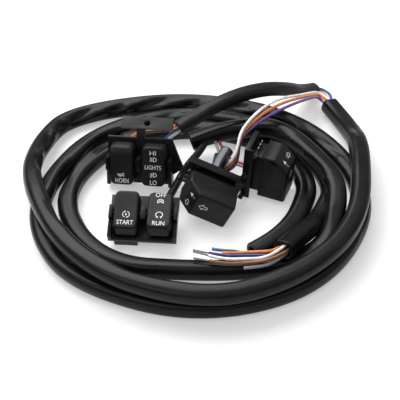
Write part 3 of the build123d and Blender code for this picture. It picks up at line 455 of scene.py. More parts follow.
def sheath_radius(radius, dents, flats, phase):
    """The radius of a soft sheath at a distance s along it and an angle a around it.

    r = R (1 - SIDE_SHARE cos 4(a - lean(s)) + flat(s) cos 2(a - lean(s)) + slow waves + folds(s, a)
    - dents(s, a)), held between 0.55 R and 1.22 R.
    The first term gives the soft wall four flattish sides, as it lies and is pressed between its turns, and
    flat(s) presses it a little oval where it bends. A fold is a sharp ridge, e to the minus distance,
    that wanders along the tube with hollows beside it and comes and goes. Each dent is a hollow of a given
    depth, width and bearing, with a sharp crease where the wall stands up on either side of it.
    """

    def at(s, a):
        lean = 0.14 * np.sin(9.0 * s + phase) + 0.06 * np.sin(31.0 * s + 2 * phase)
        flat = 0.03 + 0.02 * np.sin(17.0 * s + 1.3 * phase) + 0.01 * np.sin(47.0 * s)
        for where, width, much in flats:
            flat += much * bump_of(s - where, width)
        shape = 1 + flat * np.cos(2 * (a - lean)) - SIDE_SHARE * np.cos(4 * (a - lean))
        shape += 0.006 * np.sin(3 * a + 40.0 * s + phase) + 0.005 * np.sin(2 * a - 75.0 * s)
        for middle, sway, much, width in FOLDS:
            fold = middle + sway * np.sin(11.0 * s + phase) + 0.16 * np.sin(41.0 * s + 2 * middle)
            strength = np.clip(0.45 + 0.75 * np.sin(13.0 * s + phase + 3 * middle), 0, 1)
            off = turned(a - fold)
            ridge = np.exp(-np.abs(off) / width) - 0.55 * bump_of(off, 3.2 * width)
            shape += much * strength * ridge
        for where, width, bearing, depth in dents:
            skew = (s - where) / width
            hollow = bump_of(skew, 0.85) * bump_of(turned(a - bearing - 0.4 * skew), 0.62)
            crease = np.exp(-np.abs(skew - 0.9) / 0.14) + 0.7 * np.exp(-np.abs(skew + 0.95) / 0.16)
            rim = crease * bump_of(turned(a - bearing - 0.1), 0.55)
            shape += 0.3 * depth * rim - depth * hollow
        return radius * np.clip(shape, 0.55, 1.22)

    return at


# Dents as (distance along, width, bearing around, depth); flats as (distance along, width, share)
LEFT_DENTS = [
    (0.345, 0.009, 0.5, 0.4), (0.366, 0.010, 0.6, 0.55), (0.386, 0.008, 0.5, 0.4), (0.402, 0.011, 0.7, 0.6),
    (0.424, 0.008, 0.5, 0.44), (0.444, 0.012, 0.65, 0.6), (0.466, 0.009, 0.4, 0.44), (0.492, 0.012, 0.7, 0.5),
    (0.52, 0.014, 0.3, 0.3), (0.556, 0.014, 1.0, 0.3), (0.3, 0.014, 0.5, 0.24), (0.62, 0.014, 2.2, 0.16),
    (0.79, 0.014, 0.4, 0.3), (0.822, 0.012, 0.6, 0.34), (0.87, 0.014, 0.5, 0.3), (0.905, 0.016, 0.4, 0.36),
    (0.945, 0.012, 0.8, 0.3), (1.0, 0.012, 1.2, 0.26), (0.035, 0.012, 1.4, 0.1), (0.235, 0.02, 0.6, 0.16),
]
LEFT_FLATS = [
    (0.44, 0.05, 0.06), (0.6, 0.05, 0.05), (0.95, 0.06, 0.08), (0.2, 0.08, 0.03), (0.04, 0.06, 0.05),
]
RIGHT_DENTS = [
    (0.05, 0.012, 0.6, 0.24), (0.085, 0.012, 0.3, 0.26), (0.13, 0.014, 0.8, 0.2), (0.31, 0.014, 2.4, 0.28),
    (0.345, 0.012, 2.0, 0.34), (0.372, 0.012, 2.5, 0.3), (0.42, 0.014, 1.2, 0.2), (0.48, 0.014, 1.9, 0.2),
]
RIGHT_FLATS = [(0.1, 0.06, 0.06), (0.36, 0.06, 0.08), (0.49, 0.04, 0.12)]

ARCH_DENTS, ARCH_FLATS = [(0.012, 0.008, 1.2, 0.08)], [(0.05, 0.03, 0.03)]
SLEEVE_DENTS, SLEEVE_FLATS = [(0.008, 0.005, 1.0, 0.06)], [(0.01, 0.006, 0.04)]
SHEATH_STEP = 0.001
SHEATH_AROUND, ARCH_AROUND = 64, 48


def round_radius(radius):
    """The same radius everywhere, with a slight waver along the length."""
    return lambda s, a: radius * (1 + 0.012 * np.sin(220.0 * s + 2 * a))


def sheath(node, points, bore, shape, material, around):
    """A hollow sheath along its route, in place of its plain solid."""
    line = smooth_line(node, points)
    piece, path = tube(f"{node}_skin", line, SHEATH_STEP, around, shape, material, bore, BORE_DEPTH)
    stands_for(piece, node, "cluster")


for side, turns, mouths, dents, flats, phase in (
    ("left", LEFT_TURNS, LEFT_MOUTHS, LEFT_DENTS, LEFT_FLATS, 0.4),
    ("right", RIGHT_TURNS, RIGHT_MOUTHS, RIGHT_DENTS, RIGHT_FLATS, 2.1),
):
    sheath(
        f"{side}_harness_sheath", coil_points(turns, mouths), SHEATH_BORE,
        sheath_radius(SHEATH_RADIUS, dents, flats, phase), SHEATH_BLACK, SHEATH_AROUND,
    )
sheath(
    "arch_sheath", ARCH_ROUTE, ARCH_BORE,
    sheath_radius(ARCH_RADIUS, ARCH_DENTS, ARCH_FLATS, 4.0), ARCH_BLACK, ARCH_AROUND,
)

# Wires

WIRE_RADIUS = 0.0008
WIRE_STEP, WIRE_AROUND = 0.0008, 20
LEAD_IN = 5.7  # how far a wire starts inside its mouth
EXIT_LEAD = 3.0
# Circles on which the wires in one mouth or plate lie
FIVE_CIRCLE, FOUR_CIRCLE, TWO_CIRCLE = 2.2, 1.5, 1.1
SEAT_CIRCLE, SEAT_BEARING = 1.8, 157
BRANCH_CIRCLE = 1.2
BRANCH_RADIUS, BRANCH_WIRE_RADIUS = 0.002, 0.0006
PAIR_BACK, HOUSING_BACK, PLATE_BACK = -6.0, -9.5, -12.0
TAG_LENGTH, TAG_THICKNESS = 3.0, 0.5
TAG_DROP = 6.0  # how far above its tag a wire turns down
PLATE_LEAD = 7.0
WIRE_OPENING = (3.2, -1.2)


def square_offset(way, across, above):
    """An offset to the right of a direction and upwards, square to it."""
    side = unit(np.cross(way, (0.0, 0.0, 1.0)))
    return side * across + unit(np.cross(side, way)) * above


def on_circle(circle, bearing):
    """Across and above of a wire that lies on a circle."""
    return circle * math.cos(math.radians(bearing)), circle * math.sin(math.radians(bearing))


def beside(route, across, above):
    """A route moved sideways and upwards, square to its own direction and wider at its corners."""
    points = np.array(route, dtype=float)
    runs = unit(np.diff(points, axis=0))
    before, after = np.vstack([runs[:1], runs]), np.vstack([runs, runs[-1:]])
    corner = np.sqrt((1 + (before * after).sum(axis=1)) / 2)
    return list(points + square_offset(before + after, across, above) / corner[:, None])


def out_of(mouth, circle, bearing, lead=LEAD_IN):
    """Two places of a wire in a mouth: a lead's length inside its bore, and straight out of it."""
    end, way = np.array(mouth[0]), unit(mouth[1])
    offset = square_offset(way, *on_circle(circle, bearing))
    return [end - way * lead + offset, end + way * EXIT_LEAD + offset]


def onto_tag(module, spot):
    """Two places of a wire that comes down behind a switch onto one of its tags."""
    x, y = spot
    y, z = y + TAG_THICKNESS / 2, PAIR_BACK - TAG_LENGTH / 2
    return list(in_module(module, [(x, y + TAG_DROP, z), (x, y, z)]))


def into_plate(module, flip, right, up):
    """Two places of a wire that goes through a turn plate's opening to the contact board."""
    x, y = flip * WIRE_OPENING[0] + right, WIRE_OPENING[1] + up
    return list(in_module(module, [(x, y, PLATE_BACK - PLATE_LEAD), (x, y, HOUSING_BACK)]))


def mouth_of(first, second):
    """A mouth and the way out of it, from a route's last place and the place before it."""
    return first, np.subtract(first, second)


LEFT_OUT = (LEFT_MOUTHS[0], (-0.39, 0.921, -0.021))
LEFT_IN = (LEFT_MOUTHS[1], (-0.515, -0.828, 0.222))
RIGHT_IN = (RIGHT_MOUTHS[1], (-0.82, -0.57, 0.0))
ARCH_NEAR = mouth_of(ARCH_ROUTE[0], ARCH_ROUTE[1])
ARCH_FAR = mouth_of(ARCH_ROUTE[-1], ARCH_ROUTE[-2])

# Places that the three wires to the left turn signal pass, and how they fan out there
FEED_ROUTE = [
    (66.9, 80.4, 7.4), (62, 73.8, 12.2), (54, 62.4, 18.8), (46.2, 51.2, 25), (38.5, 41, 28.9),
    (30.6, 31.2, 30.4), (23.8, 22.8, 29.2), (21, 17.8, 27.8), (19.8, 13.4, 25), (18.8, 9.8, 21.2),
    (16.6, 8.8, 16.4),
]
FEED_FAN = [
    (2.2, 0), (2.4, 0), (2.8, 5), (3.2, 15), (2.9, 30), (2.3, 50), (1.9, 70), (1.8, 85), (1.8, 90),
    (1.8, 90), (1.8, 80),
]
FEED_WIRES = {"violet": (162, -1), "orange": (90, 0), "white": (18, 1)}
LINK_ROUTE = [(73.4, 81.6, 3.8), (72.2, 87.6, 3.2)]
LINK_WIRES = {"blue": (-54, 180), "ochre": (-126, 0)}
# Each switch's route, and its wires' bearings in the arched sheath's near mouth with their tags
SWITCH_WIRES = {
    "horn": (
        [(-20.5, 25.8, 25.2), (-28, 27.4, 23.4), (-35.6, 28, 18.6)],
        {"orange": (45, (-10.3, -4.5)), "brown": (135, (-6.3, -4.5))},
    ),
    "lights": ([(-18, 25.6, 21)], {"blue": (-45, (6.3, -2)), "white": (-135, (10.3, -2))}),
}
RIGHT_FEED_ROUTE = [(8.6, 35.7, 12.8), (10.2, 29.8, 11.2), (11.6, 23, 11.8)]
RIGHT_FEED_WIRES = {"red": -1.1, "grey": 1.1}
BRANCH_ROUTE = [
    (3.4, 34.4, 11.9), (-0.2, 27.6, 9.5), (-5.4, 20.6, 8.2), (-9, 12.8, 7.7), (-11.9, 4.6, 7.4),
    (-15.4, -4.4, 7),
]
BRANCH_END = mouth_of(BRANCH_ROUTE[-1], BRANCH_ROUTE[-2])
BRANCH_BEARINGS = (45, -45, 135, 225)
START_TAGS = ((-10.3, -4.5), (-6.3, -4.5), (6.3, -2), (10.3, -2))
LEFT_LEADS = {
    "orange": (18, [(31.6, -53.4, 14.8), (24.6, -51.8, 12.9), (17.2, -52, 12.3), (10.6, -51.8, 12.2)]),
    "navy": (-54, [(31, -54.6, 13.4), (22, -53.6, 12.4), (12.5, -53.8, 12.1), (4.4, -51.6, 12)]),
    "white": (90, [(31, -58.2, 15), (21.5, -57.4, 13.7), (11.5, -57.3, 13.3), (4.2, -54.6, 13.3)]),
    "brown": (162, [(31.4, -60, 15), (22.4, -59.2, 12.9), (13, -58.8, 11.9), (4.6, -56.6, 11.7)]),
    "grey": (-126, [(33.4, -60.4, 13.2), (27.4, -60.9, 11.9), (21, -60.7, 10.9)]),
}
TEAL_LEAD = [(20.6, -46, 6.8), (16.4, -48.8, 10.6), (11, -49.5, 11.6), (5.8, -48.4, 11.6)]
STRIPPED = ("white", "navy", "brown")


def wire(name, node, points, radius, material):
    """A wire along its route in place of its plain solid."""
    line = smooth_line(name, points)
    piece, path = tube(f"{name}_skin", line, WIRE_STEP, WIRE_AROUND, round_radius(radius), material)
    stands_for(piece, node, "cluster")


def coloured_wire(node, colour, points):
    wire(node, node, points, WIRE_RADIUS, INSULATION[colour])


feed_middle = out_of(LEFT_OUT, 0, 0) + FEED_ROUTE + into_plate(LEFT_TURN_FRAME, 1, 0, 0)
for colour, (bearing, side) in FEED_WIRES.items():
    passed = [
        beside(feed_middle, *on_circle(side * spread, fan))[step + 2]
        for step, (spread, fan) in enumerate(FEED_FAN)
    ]
    seat = into_plate(LEFT_TURN_FRAME, 1, *on_circle(side * SEAT_CIRCLE, SEAT_BEARING))
    coloured_wire(f"left_turn_{colour}_wire", colour, out_of(LEFT_OUT, FIVE_CIRCLE, bearing) + passed + seat)
for colour, (bearing, far_bearing) in LINK_WIRES.items():
    straight = out_of(LEFT_OUT, 0, 0) + LINK_ROUTE + out_of(ARCH_FAR, 0, 0)[::-1]
    passed = beside(straight, on_circle(FIVE_CIRCLE, bearing)[0], 0)[2:-1]
    inside = out_of(ARCH_FAR, TWO_CIRCLE, far_bearing)[0]
    coloured_wire(f"arch_{colour}_wire", colour, out_of(LEFT_OUT, FIVE_CIRCLE, bearing) + passed + [inside])
for owner, (route, wires) in SWITCH_WIRES.items():
    for colour, (bearing, spot) in wires.items():
        middle = out_of(ARCH_NEAR, 0, 0) + route
        places = beside(middle, *on_circle(FOUR_CIRCLE, bearing)) + onto_tag(HORN_FRAME, spot)
        coloured_wire(f"{owner}_{colour}_wire", colour, places)
for colour, across in RIGHT_FEED_WIRES.items():
    places = beside(RIGHT_FEED_ROUTE, across, 0) + into_plate(RIGHT_TURN_FRAME, -1, 0, across)
    coloured_wire(f"right_turn_{colour}_wire", colour, places)

wire("branch_cable", "branch_cable", BRANCH_ROUTE, BRANCH_RADIUS, ARCH_BLACK)
for number, (spot, bearing) in enumerate(zip(START_TAGS, BRANCH_BEARINGS)):
    places = out_of(BRANCH_END, BRANCH_CIRCLE, bearing, 0.0) + onto_tag(START_FRAME, spot)
    wire(
        f"branch_wire_{number + 1}", "branch_wires", places, BRANCH_WIRE_RADIUS, INSULATION["brown"],
    )

STRAND_COUNT = 7
STRAND_RADIUS, STRAND_STEP, STRAND_AROUND = 0.00014, 0.0004, 8
STRAND_LENGTH, STRAND_CIRCLE = 8.0, 0.3
STRAND_TWIST, STRAND_SPREAD = 0.55, 0.05  # for each millimetre along


def bare_strands(name, end, way):
    """Tinned strands in a loose twist: a straight one, and the others on opening helices about it."""
    way = unit(way)
    side = square_offset(way, 1.0, 0.0)
    radius_of = round_radius(STRAND_RADIUS)
    along = np.linspace(0.0, STRAND_LENGTH, 30)[:, None]
    for number in range(STRAND_COUNT):
        reach = STRAND_CIRCLE * (1 + STRAND_SPREAD * along) * (number < STRAND_COUNT - 1)
        angle = number * 2 * math.pi / (STRAND_COUNT - 1) + along * STRAND_TWIST
        line = end + way * along + (side * np.cos(angle) + np.cross(side, way) * np.sin(angle)) * reach
        strand = tube(
            f"{name}_{number + 1}", metres(line), STRAND_STEP, STRAND_AROUND, radius_of, TINNED
        )[0]
        stands_for(strand, "stripped_strands", "cluster")


for colour, (bearing, route) in LEFT_LEADS.items():
    places = np.array(out_of(LEFT_IN, FIVE_CIRCLE, bearing) + route)
    coloured_wire(f"lead_{colour}_wire", colour, places)
    if colour in STRIPPED:
        bare_strands(f"{colour}_strand", places[-1], places[-1] - places[-2])
coloured_wire("lead_teal_wire", "teal", out_of(RIGHT_IN, 0, 0) + TEAL_LEAD)

SLEEVE_RADIUS, SLEEVE_BORE, SLEEVE_DEPTH = 0.0032, 0.0027, 0.012
SLEEVE_STEP, SLEEVE_AROUND = 0.0005, 40
SLEEVE_SEAT = [(-0.2, 4.4, PLATE_BACK), (-0.2, 4.4, PLATE_BACK - 4.6)]
SLEEVE_MOUTH = (14.2, 15.0, 21.4)
sleeve_line = smooth_line("left_turn_sleeve", [*in_module(LEFT_TURN_FRAME, SLEEVE_SEAT), SLEEVE_MOUTH])
sleeve = tube(
    "left_turn_sleeve_skin", sleeve_line, SLEEVE_STEP, SLEEVE_AROUND,
    sheath_radius(SLEEVE_RADIUS, SLEEVE_DENTS, SLEEVE_FLATS, 1.0), NAVY_SLEEVE, SLEEVE_BORE, SLEEVE_DEPTH,
)[0]
stands_for(sleeve, "left_turn_sleeve", "cluster")

# Rocker caps

CAP_HALF_WIDTH, CAP_HALF_LENGTH, CAP_CORNER = 6.5, 11.0, 3.0
CAP_LIFT, CAP_HEIGHT, CAP_WALL = 2.2, 7.2, 1.6
CAP_EDGE, CAP_FOOT_EDGE, LEAST_CORNER = 1.1, 0.12, 0.35
CAP_DRAFT = math.tan(math.radians(5.0))
CAP_SIDE_POINTS = 9  # on each quarter circle and each side of its outline
CAP_LEVELS = (0.0, 0.25, 1.5, 3.0, 4.5)
HINGE_HEIGHT = 4.5
CAP_REACH = 8.3  # from the module's middle to a cap's
BEVEL_RUN, BEVEL_DROP, BEVEL_SOFTNESS = 4.0, 1.5, 0.12
DISH = 0.22
REST_TILT = -7.0
# The post under a momentary cap and the tongue under a latching one, from the cap's rim
DRIVER_TOP = 5.0
POST_RADIUS, POST_EDGE, POST_FOOT, POST_PLACE = 1.6, 0.15, 3.1, (0.0, -6.5, 0.0)
TONGUE_HALF_X, TONGUE_HALF_Y, TONGUE_CORNER = 2.3, 2.0, 0.5
TONGUE_FOOT, TONGUE_EDGE = -6.2, 0.3
CAP_MERGE, CAP_SLIVER = 1e-7, 1e-8  # metres
CAP_SHARP = 42.0  # degrees


def arc(radius, start, end, count=18):
    """Points on a circle between two bearings in degrees."""
    angles = np.radians(np.linspace(start, end, count))
    return radius * np.stack([np.cos(angles), np.sin(angles)], axis=1)


def face_height(x, y, bevelled):
    """The height of a cap's face: CAP_HEIGHT less a shallow dish, and less a soft bevel at its upper end.

    dish = DISH (1 - (x / half width)^2) (1 - (y / half length)^2); the bevel falls as a ramp beyond
    its line, rounded by a square root, so that the two planes meet in a small radius.
    """
    bowl = (1 - (x / CAP_HALF_WIDTH) ** 2) * (1 - (y / CAP_HALF_LENGTH) ** 2)
    height = CAP_HEIGHT - DISH * np.clip(bowl, 0, 1)
    if bevelled:
        past = y - (CAP_HALF_LENGTH - BEVEL_RUN)
        ramp = (past + np.sqrt(past**2 + BEVEL_SOFTNESS)) / 2
        height = height - BEVEL_DROP / BEVEL_RUN * ramp
    return height


def rounded_outline(half_x, half_y, corner, per_side):
    """Points around a rounded rectangle: quarter circles joined by evenly divided sides."""
    parts = []
    for turn, (sx, sy) in enumerate(((1, 1), (-1, 1), (-1, -1), (1, -1))):
        middle = (sx * (half_x - corner), sy * (half_y - corner))
        parts.append(arc(corner, 90 * turn, 90 * turn + 90, per_side) + middle)
    outline = []
    for this, following in zip(parts, parts[1:] + parts[:1]):
        share = np.linspace(0, 1, per_side + 1)[1:-1, None]
        outline += [this, this[-1] * (1 - share) + following[0] * share]
    return np.concatenate(outline)


def stacked(outline, steps):
    """Rings of one outline, each at its own share of the outline's size and its own height."""
    return [np.column_stack([outline * share, np.full(len(outline), height)]) for share, height in steps]


def cap_surface(bevelled):
    """A cap's closed shell, as rings around it from its rim, over its face, and back down inside.

    The wall leans in by the draft, the edge is a quarter circle, and the face's rings shrink to the middle.
    """
    rings = []

    def outline_at(inset, corner):
        return rounded_outline(CAP_HALF_WIDTH - inset, CAP_HALF_LENGTH - inset, corner, CAP_SIDE_POINTS)

    def ring(inset, level, on_face):
        outline = outline_at(inset, max(LEAST_CORNER, CAP_CORNER - inset * 0.75))
        rings.append(np.column_stack([outline, on_face * face_height(*outline.T, bevelled) + level]))

    for level in CAP_LEVELS:
        ring(level * CAP_DRAFT + CAP_FOOT_EDGE * (level == 0.0), level, 0)
    for bend in np.linspace(0.0, math.pi / 2, 7):
        inset = (CAP_HEIGHT - CAP_EDGE) * CAP_DRAFT + CAP_EDGE * (1 - math.cos(bend))
        ring(inset, -CAP_EDGE * (1 - math.sin(bend)), 1)
    rim = rings[-1][:, :2]
    for share in (0.88, 0.7, 0.5, 0.3, 0.12, 0.0):
        rings.append(np.column_stack([rim * share, face_height(*(rim * share).T, bevelled)]))
    ceiling = CAP_HEIGHT - CAP_WALL - (BEVEL_DROP if bevelled else DISH)
    draft = 1 - ceiling * CAP_DRAFT / CAP_HALF_WIDTH
    inner = outline_at(CAP_WALL, CAP_CORNER - CAP_WALL)
    rings += stacked(inner, ((0.0, ceiling), (0.5, ceiling), (draft, ceiling), (1.0, 0.0)))
    return rings + rings[:1]


def post_surface():
    """A round post with a small edge at its foot, closed at its middle."""
    foot, wide = POST_FOOT, POST_RADIUS
    steps = [(0.0, foot), (wide - POST_EDGE, foot), (wide, foot + POST_EDGE)]
    steps += [(wide, DRIVER_TOP), (0.0, DRIVER_TOP)]
    return np.array(stacked(arc(1.0, 0, 360, 29)[:-1], steps)) + POST_PLACE


def tongue_surface():
    """A flat tongue: a rounded rectangle with a small edge at its foot."""
    foot = TONGUE_FOOT
    steps = [(0.0, foot), (0.9, foot), (1.0, foot + TONGUE_EDGE), (1.0, DRIVER_TOP), (0.0, DRIVER_TOP)]
    return stacked(rounded_outline(TONGUE_HALF_X, TONGUE_HALF_Y, TONGUE_CORNER, 5), steps)


def tilted(points, tilt):
    """Places swung about a cap's hinge line by a tilt in degrees."""
    turn = math.radians(tilt)
    x, y, z = points[..., 0], points[..., 1], points[..., 2] - HINGE_HEIGHT
    back, up = y * math.cos(turn) - z * math.sin(turn), y * math.sin(turn) + z * math.cos(turn)
    return np.stack([x, back, up + HINGE_HEIGHT], axis=-1)


def closed_rings(name, rings, place):
    """A piece from closed rings of a cap's places, with its poles merged and its faces outwards."""
    rings = place(np.array(rings))
    faces = grid_faces(*rings.shape[:2])
    piece = filled(name, metres(rings).reshape(-1, 3), faces.tolist(), CAP_BLACK)
    work = bmesh.new()
    work.from_mesh(piece.data)
    bmesh.ops.remove_doubles(work, verts=work.verts, dist=CAP_MERGE)
    bmesh.ops.dissolve_degenerate(work, edges=work.edges, dist=CAP_SLIVER)
    bmesh.ops.recalc_face_normals(work, faces=work.faces)
    work.to_mesh(piece.data)
    work.free()
    piece.data.set_sharp_from_angle(angle=math.radians(CAP_SHARP))
    return piece


# Printed words and symbols

PRINT_LIFT = 0.02
PRINT_THICKNESS = 0.03


def word(text, width, height, x, y):
    """Flat letters as vertices and faces: the built-in letters stretched to a width and a height."""
    curve = bpy.data.curves.new("word", "FONT")
    curve.body = text
    curve.align_x = "CENTER"
    curve.resolution_u = 4
    mesh = mesh_of("word", curve)
    flat = points_of(mesh)[:, :2]
    low, high = flat.min(axis=0), flat.max(axis=0)
    flat = (flat - (low + high) / 2) / (high - low) * (width, height) + (x, y)
    return flat, [list(polygon.vertices) for polygon in mesh.polygons]


def stroke(points, width, closed=False):
    """A ribbon along a flat line: each point moved by half the width along its mitred normal."""
    points = np.array(points, dtype=float)
    if closed:
        before, after = np.roll(points, 1, axis=0), np.roll(points, -1, axis=0)
    else:
        before = np.vstack([2 * points[:1] - points[1:2], points[:-1]])
        after = np.vstack([points[1:], 2 * points[-1:] - points[-2:-1]])
    way_in, way_out = unit(points - before), unit(after - points)
    way = unit(way_in + way_out)
    share = np.clip((way * way_in).sum(axis=1), 0.45, 1)
    offset = np.stack([-way[:, 1], way[:, 0]], axis=1) * (width / 2 / share)[:, None]
    count = len(points)
    vertices = np.vstack([points + offset, points - offset])
    last = count if closed else count - 1
    faces = [[i, (i + 1) % count, (i + 1) % count + count, i + count] for i in range(last)]
    return vertices, faces


def solid_shape(points):
    """A filled flat outline."""
    return np.array(points, dtype=float), [list(range(len(points)))]


def moved(shapes, x, y, scale=1.0, turn=0.0):
    """Flat shapes scaled, turned and moved."""
    angle = math.radians(turn)
    spin = np.array([[math.cos(angle), math.sin(angle)], [-math.sin(angle), math.cos(angle)]])
    return [(vertices * scale @ spin + (x, y), faces) for vertices, faces in shapes]


def horn_symbol():
    """A small trumpet: tube, bell and two valves."""
    body = [
        (-1.4, 0.35), (-0.5, 0.2), (0.5, 0.3), (1.3, 0.85), (1.3, -0.75), (0.5, -0.25), (-0.5, -0.15),
        (-1.4, -0.25),
    ]
    valve = [(-0.75, -0.15), (-0.75, -0.75), (0.1, -0.75), (0.1, -0.2)]
    return [stroke(body, 0.24, True), stroke(valve, 0.22)]


def lamp_symbol(slanted):
    """A lamp's D outline with four rays, level for the high beam and slanted for the low one."""
    glass = np.vstack([[(0.05, -0.9)], arc(0.95, -78, 78) * (1.35, 0.95) + (0.1, 0.0), [(0.05, 0.9)]])
    fall = 0.35 if slanted else 0.0
    rays = [stroke([(-0.35, y), (-1.5, y - fall)], 0.24) for y in (0.78, 0.27, -0.24, -0.75)]
    return [stroke(glass, 0.26, True)] + rays


def starter_symbol():
    """A bolt inside two arcs that turn."""
    bolt = [(0.25, 0.85), (-0.5, -0.05), (-0.05, -0.05), (-0.25, -0.85), (0.5, 0.12), (0.05, 0.12)]
    tip = np.array([(-0.75, 1.65), (-0.1, 1.45), (-0.6, 0.95)])
    arcs = [stroke(arc(1.45, 110, 250), 0.28), stroke(arc(1.45, -70, 70), 0.28)]
    return arcs + [solid_shape(outline) for outline in (bolt, tip, -tip)]


def run_symbol():
    """An open circle with an arrow head at each end of its gap."""
    tip = np.array([(0.55, -1.75), (1.35, -1.25), (0.5, -0.75)])
    return [stroke(arc(1.45, -50, 230, 30), 0.32), solid_shape(tip), solid_shape(tip * (-1, 1))]


def stop_symbol():
    """The open circle crossed out."""
    hook = np.array([(-1.6, -0.9), (-0.8, -0.8), (-1.1, -0.1)])
    lines = [[(-0.6, -0.6), (0.6, 0.5)], [(-0.6, 0.5), (0.6, -0.6)], hook, hook * (-1, 1)]
    return [stroke(arc(1.3, -40, 220, 26) * (1, 0.85), 0.3)] + [stroke(line, 0.26) for line in lines]


def arrow_outline():
    """A hollow arrow that points left."""
    arrow = [(-1.9, 0.0), (-0.3, 1.5), (-0.3, 0.7), (1.7, 0.7), (1.7, -0.7), (-0.3, -0.7), (-0.3, -1.5)]
    return [stroke(arrow, 0.3, True)]


def hazard_marks():
    """A filled triangle and two dots."""
    dots = [arc(0.2, 0, 360, 9)[:-1] + (0.0, y) for y in (-1.4, -2.1)]
    return [solid_shape(outline) for outline in ([(-0.85, -0.7), (0.85, -0.7), (0.0, 0.85)], *dots)]


def printed(name, shapes, body, lay_on):
    """Flat shapes laid on a surface by lay_on(x, y), which gives table places, as one thin print."""
    vertices, faces, base = [], [], 0
    for flat, polygons in shapes:
        vertices.append(flat)
        faces += [[base + index for index in polygon] for polygon in polygons]
        base += len(flat)
    piece = filled(name, metres(lay_on(*np.vstack(vertices).T)), faces, PRINT_WHITE, smooth=False)
    thick = piece.modifiers.new("coat", "SOLIDIFY")
    thick.thickness = PRINT_THICKNESS * MM
    thick.offset = 0.0
    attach(piece, body)


def rocker_cap(name, module, latching, bevelled):
    """A cap with the post or tongue under it that works its switch. Returns what lays prints on its face."""
    reach, tilt = (CAP_REACH, REST_TILT) if latching else (-CAP_REACH, 0.0)

    def place(points):
        return in_module(module, tilted(points + (0.0, 0.0, CAP_LIFT), tilt) + (reach, 0.0, 0.0))

    def on_face(x, y):
        return place(np.stack([x, y, face_height(x, y, bevelled) + PRINT_LIFT], axis=-1))

    driver = tongue_surface() if latching else post_surface()
    for part, rings in (("shell", cap_surface(bevelled)), ("driver", driver)):
        piece = closed_rings(f"{name}_cap_{part}", rings, place)
        stands_for(piece, f"{name}_cap", f"{name}_rocker")
    return on_face


# Each cap's module, whether it stays where it is put, and whether its upper end is bevelled
CAPS = {
    "horn": (HORN_FRAME, False, True), "lights": (HORN_FRAME, True, False),
    "start": (START_FRAME, False, False), "run": (START_FRAME, True, False),
}
cap_faces = {name: rocker_cap(name, *settings) for name, settings in CAPS.items()}
CAP_PRINTS = {
    "horn": moved(horn_symbol(), -0.3, -4.7, 1.15) + [word("HORN", 6.9, 2.5, 0.3, -7.9)],
    "lights": [word("HI", 3.2, 2.3, -0.2, 7.3)] + moved(lamp_symbol(False), 0.1, 3.9, 1.15)
    + [word("LIGHTS", 8.4, 2.2, 0.0, -0.3)] + moved(lamp_symbol(True), 0.3, -4.3, 1.15)
    + [word("LO", 3.4, 2.4, 0.3, -8.3)],
    "start": moved(starter_symbol(), 0.2, -2.8, 1.15) + [word("START", 8.2, 2.4, 0.0, -7.2)],
    "run": [word("OFF", 5.2, 2.3, 0.0, 8.6)] + moved(stop_symbol(), 0.0, 5.0, 1.1)
    + moved(run_symbol(), 0.0, -3.0, 1.15) + [word("RUN", 6.0, 2.4, 0.0, -8.0)],
}
for name, shapes in CAP_PRINTS.items():
    printed(f"{name}_cap_print", shapes, f"{name}_rocker", cap_faces[name])

# Prints of the turn signal buttons

TURN_LENGTH, TURN_HEIGHT = 26.0, 11.5
TURN_SHOULDER, TURN_SLANT = 4.0, 6.5


def on_front(module, flip):
    """Lays flat shapes on a button's front face. A flip of -1 mirrors the button's length."""

    def lay(x, y):
        return in_module(module, np.stack([flip * x, y, np.full_like(x, TURN_HEIGHT + PRINT_LIFT)], axis=-1))

    return lay


def on_slant(module, flip):
    """Lays flat shapes on a button's slanted end face: x along the slope upwards, y across it."""
    rise = TURN_HEIGHT - TURN_SHOULDER
    slope = math.hypot(TURN_SLANT, rise)
    along, up = TURN_SLANT / slope, rise / slope

    def lay(x, y):
        middle_x, middle_z = -TURN_LENGTH / 2 + TURN_SLANT / 2, TURN_SHOULDER + rise / 2
        out_x, out_z = middle_x + x * along - PRINT_LIFT * up, middle_z + x * up + PRINT_LIFT * along
        return in_module(module, np.stack([flip * out_x, y, out_z], axis=-1))

    return lay


arrow = moved(arrow_outline(), -1.6, 0.5, 1.2)
small = moved(hazard_marks(), 0.4, 2.9, 1.35, 90.0) + moved(arrow_outline(), 0.4, -3.4, 0.95, 90.0)
for name, module, flip in (("left_turn", LEFT_TURN_FRAME, 1), ("right_turn", RIGHT_TURN_FRAME, -1)):
    printed(f"{name}_arrow_print", arrow, f"{name}_push", on_front(module, flip))
    printed(f"{name}_small_print", small, f"{name}_push", on_slant(module, flip))


# Moulded pieces that keep the solids' shape, with their edges broken

EDGE_ROUND, CARRIER_EDGE_ROUND = 0.2, 0.18
# Degrees from which an edge shows as one, and up to which two faces lie flat
EDGE_SHARP, BUTTON_SHARP, FLAT_ANGLE = 34.0, 48.0, 0.6
SOLID_MERGE = 2e-6  # metres


def copied_mesh(node, material):
    """A copy of a solid's mesh with a finish of its own."""
    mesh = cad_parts[node].data.copy()
    mesh.materials.clear()
    mesh.materials.append(material)
    return mesh


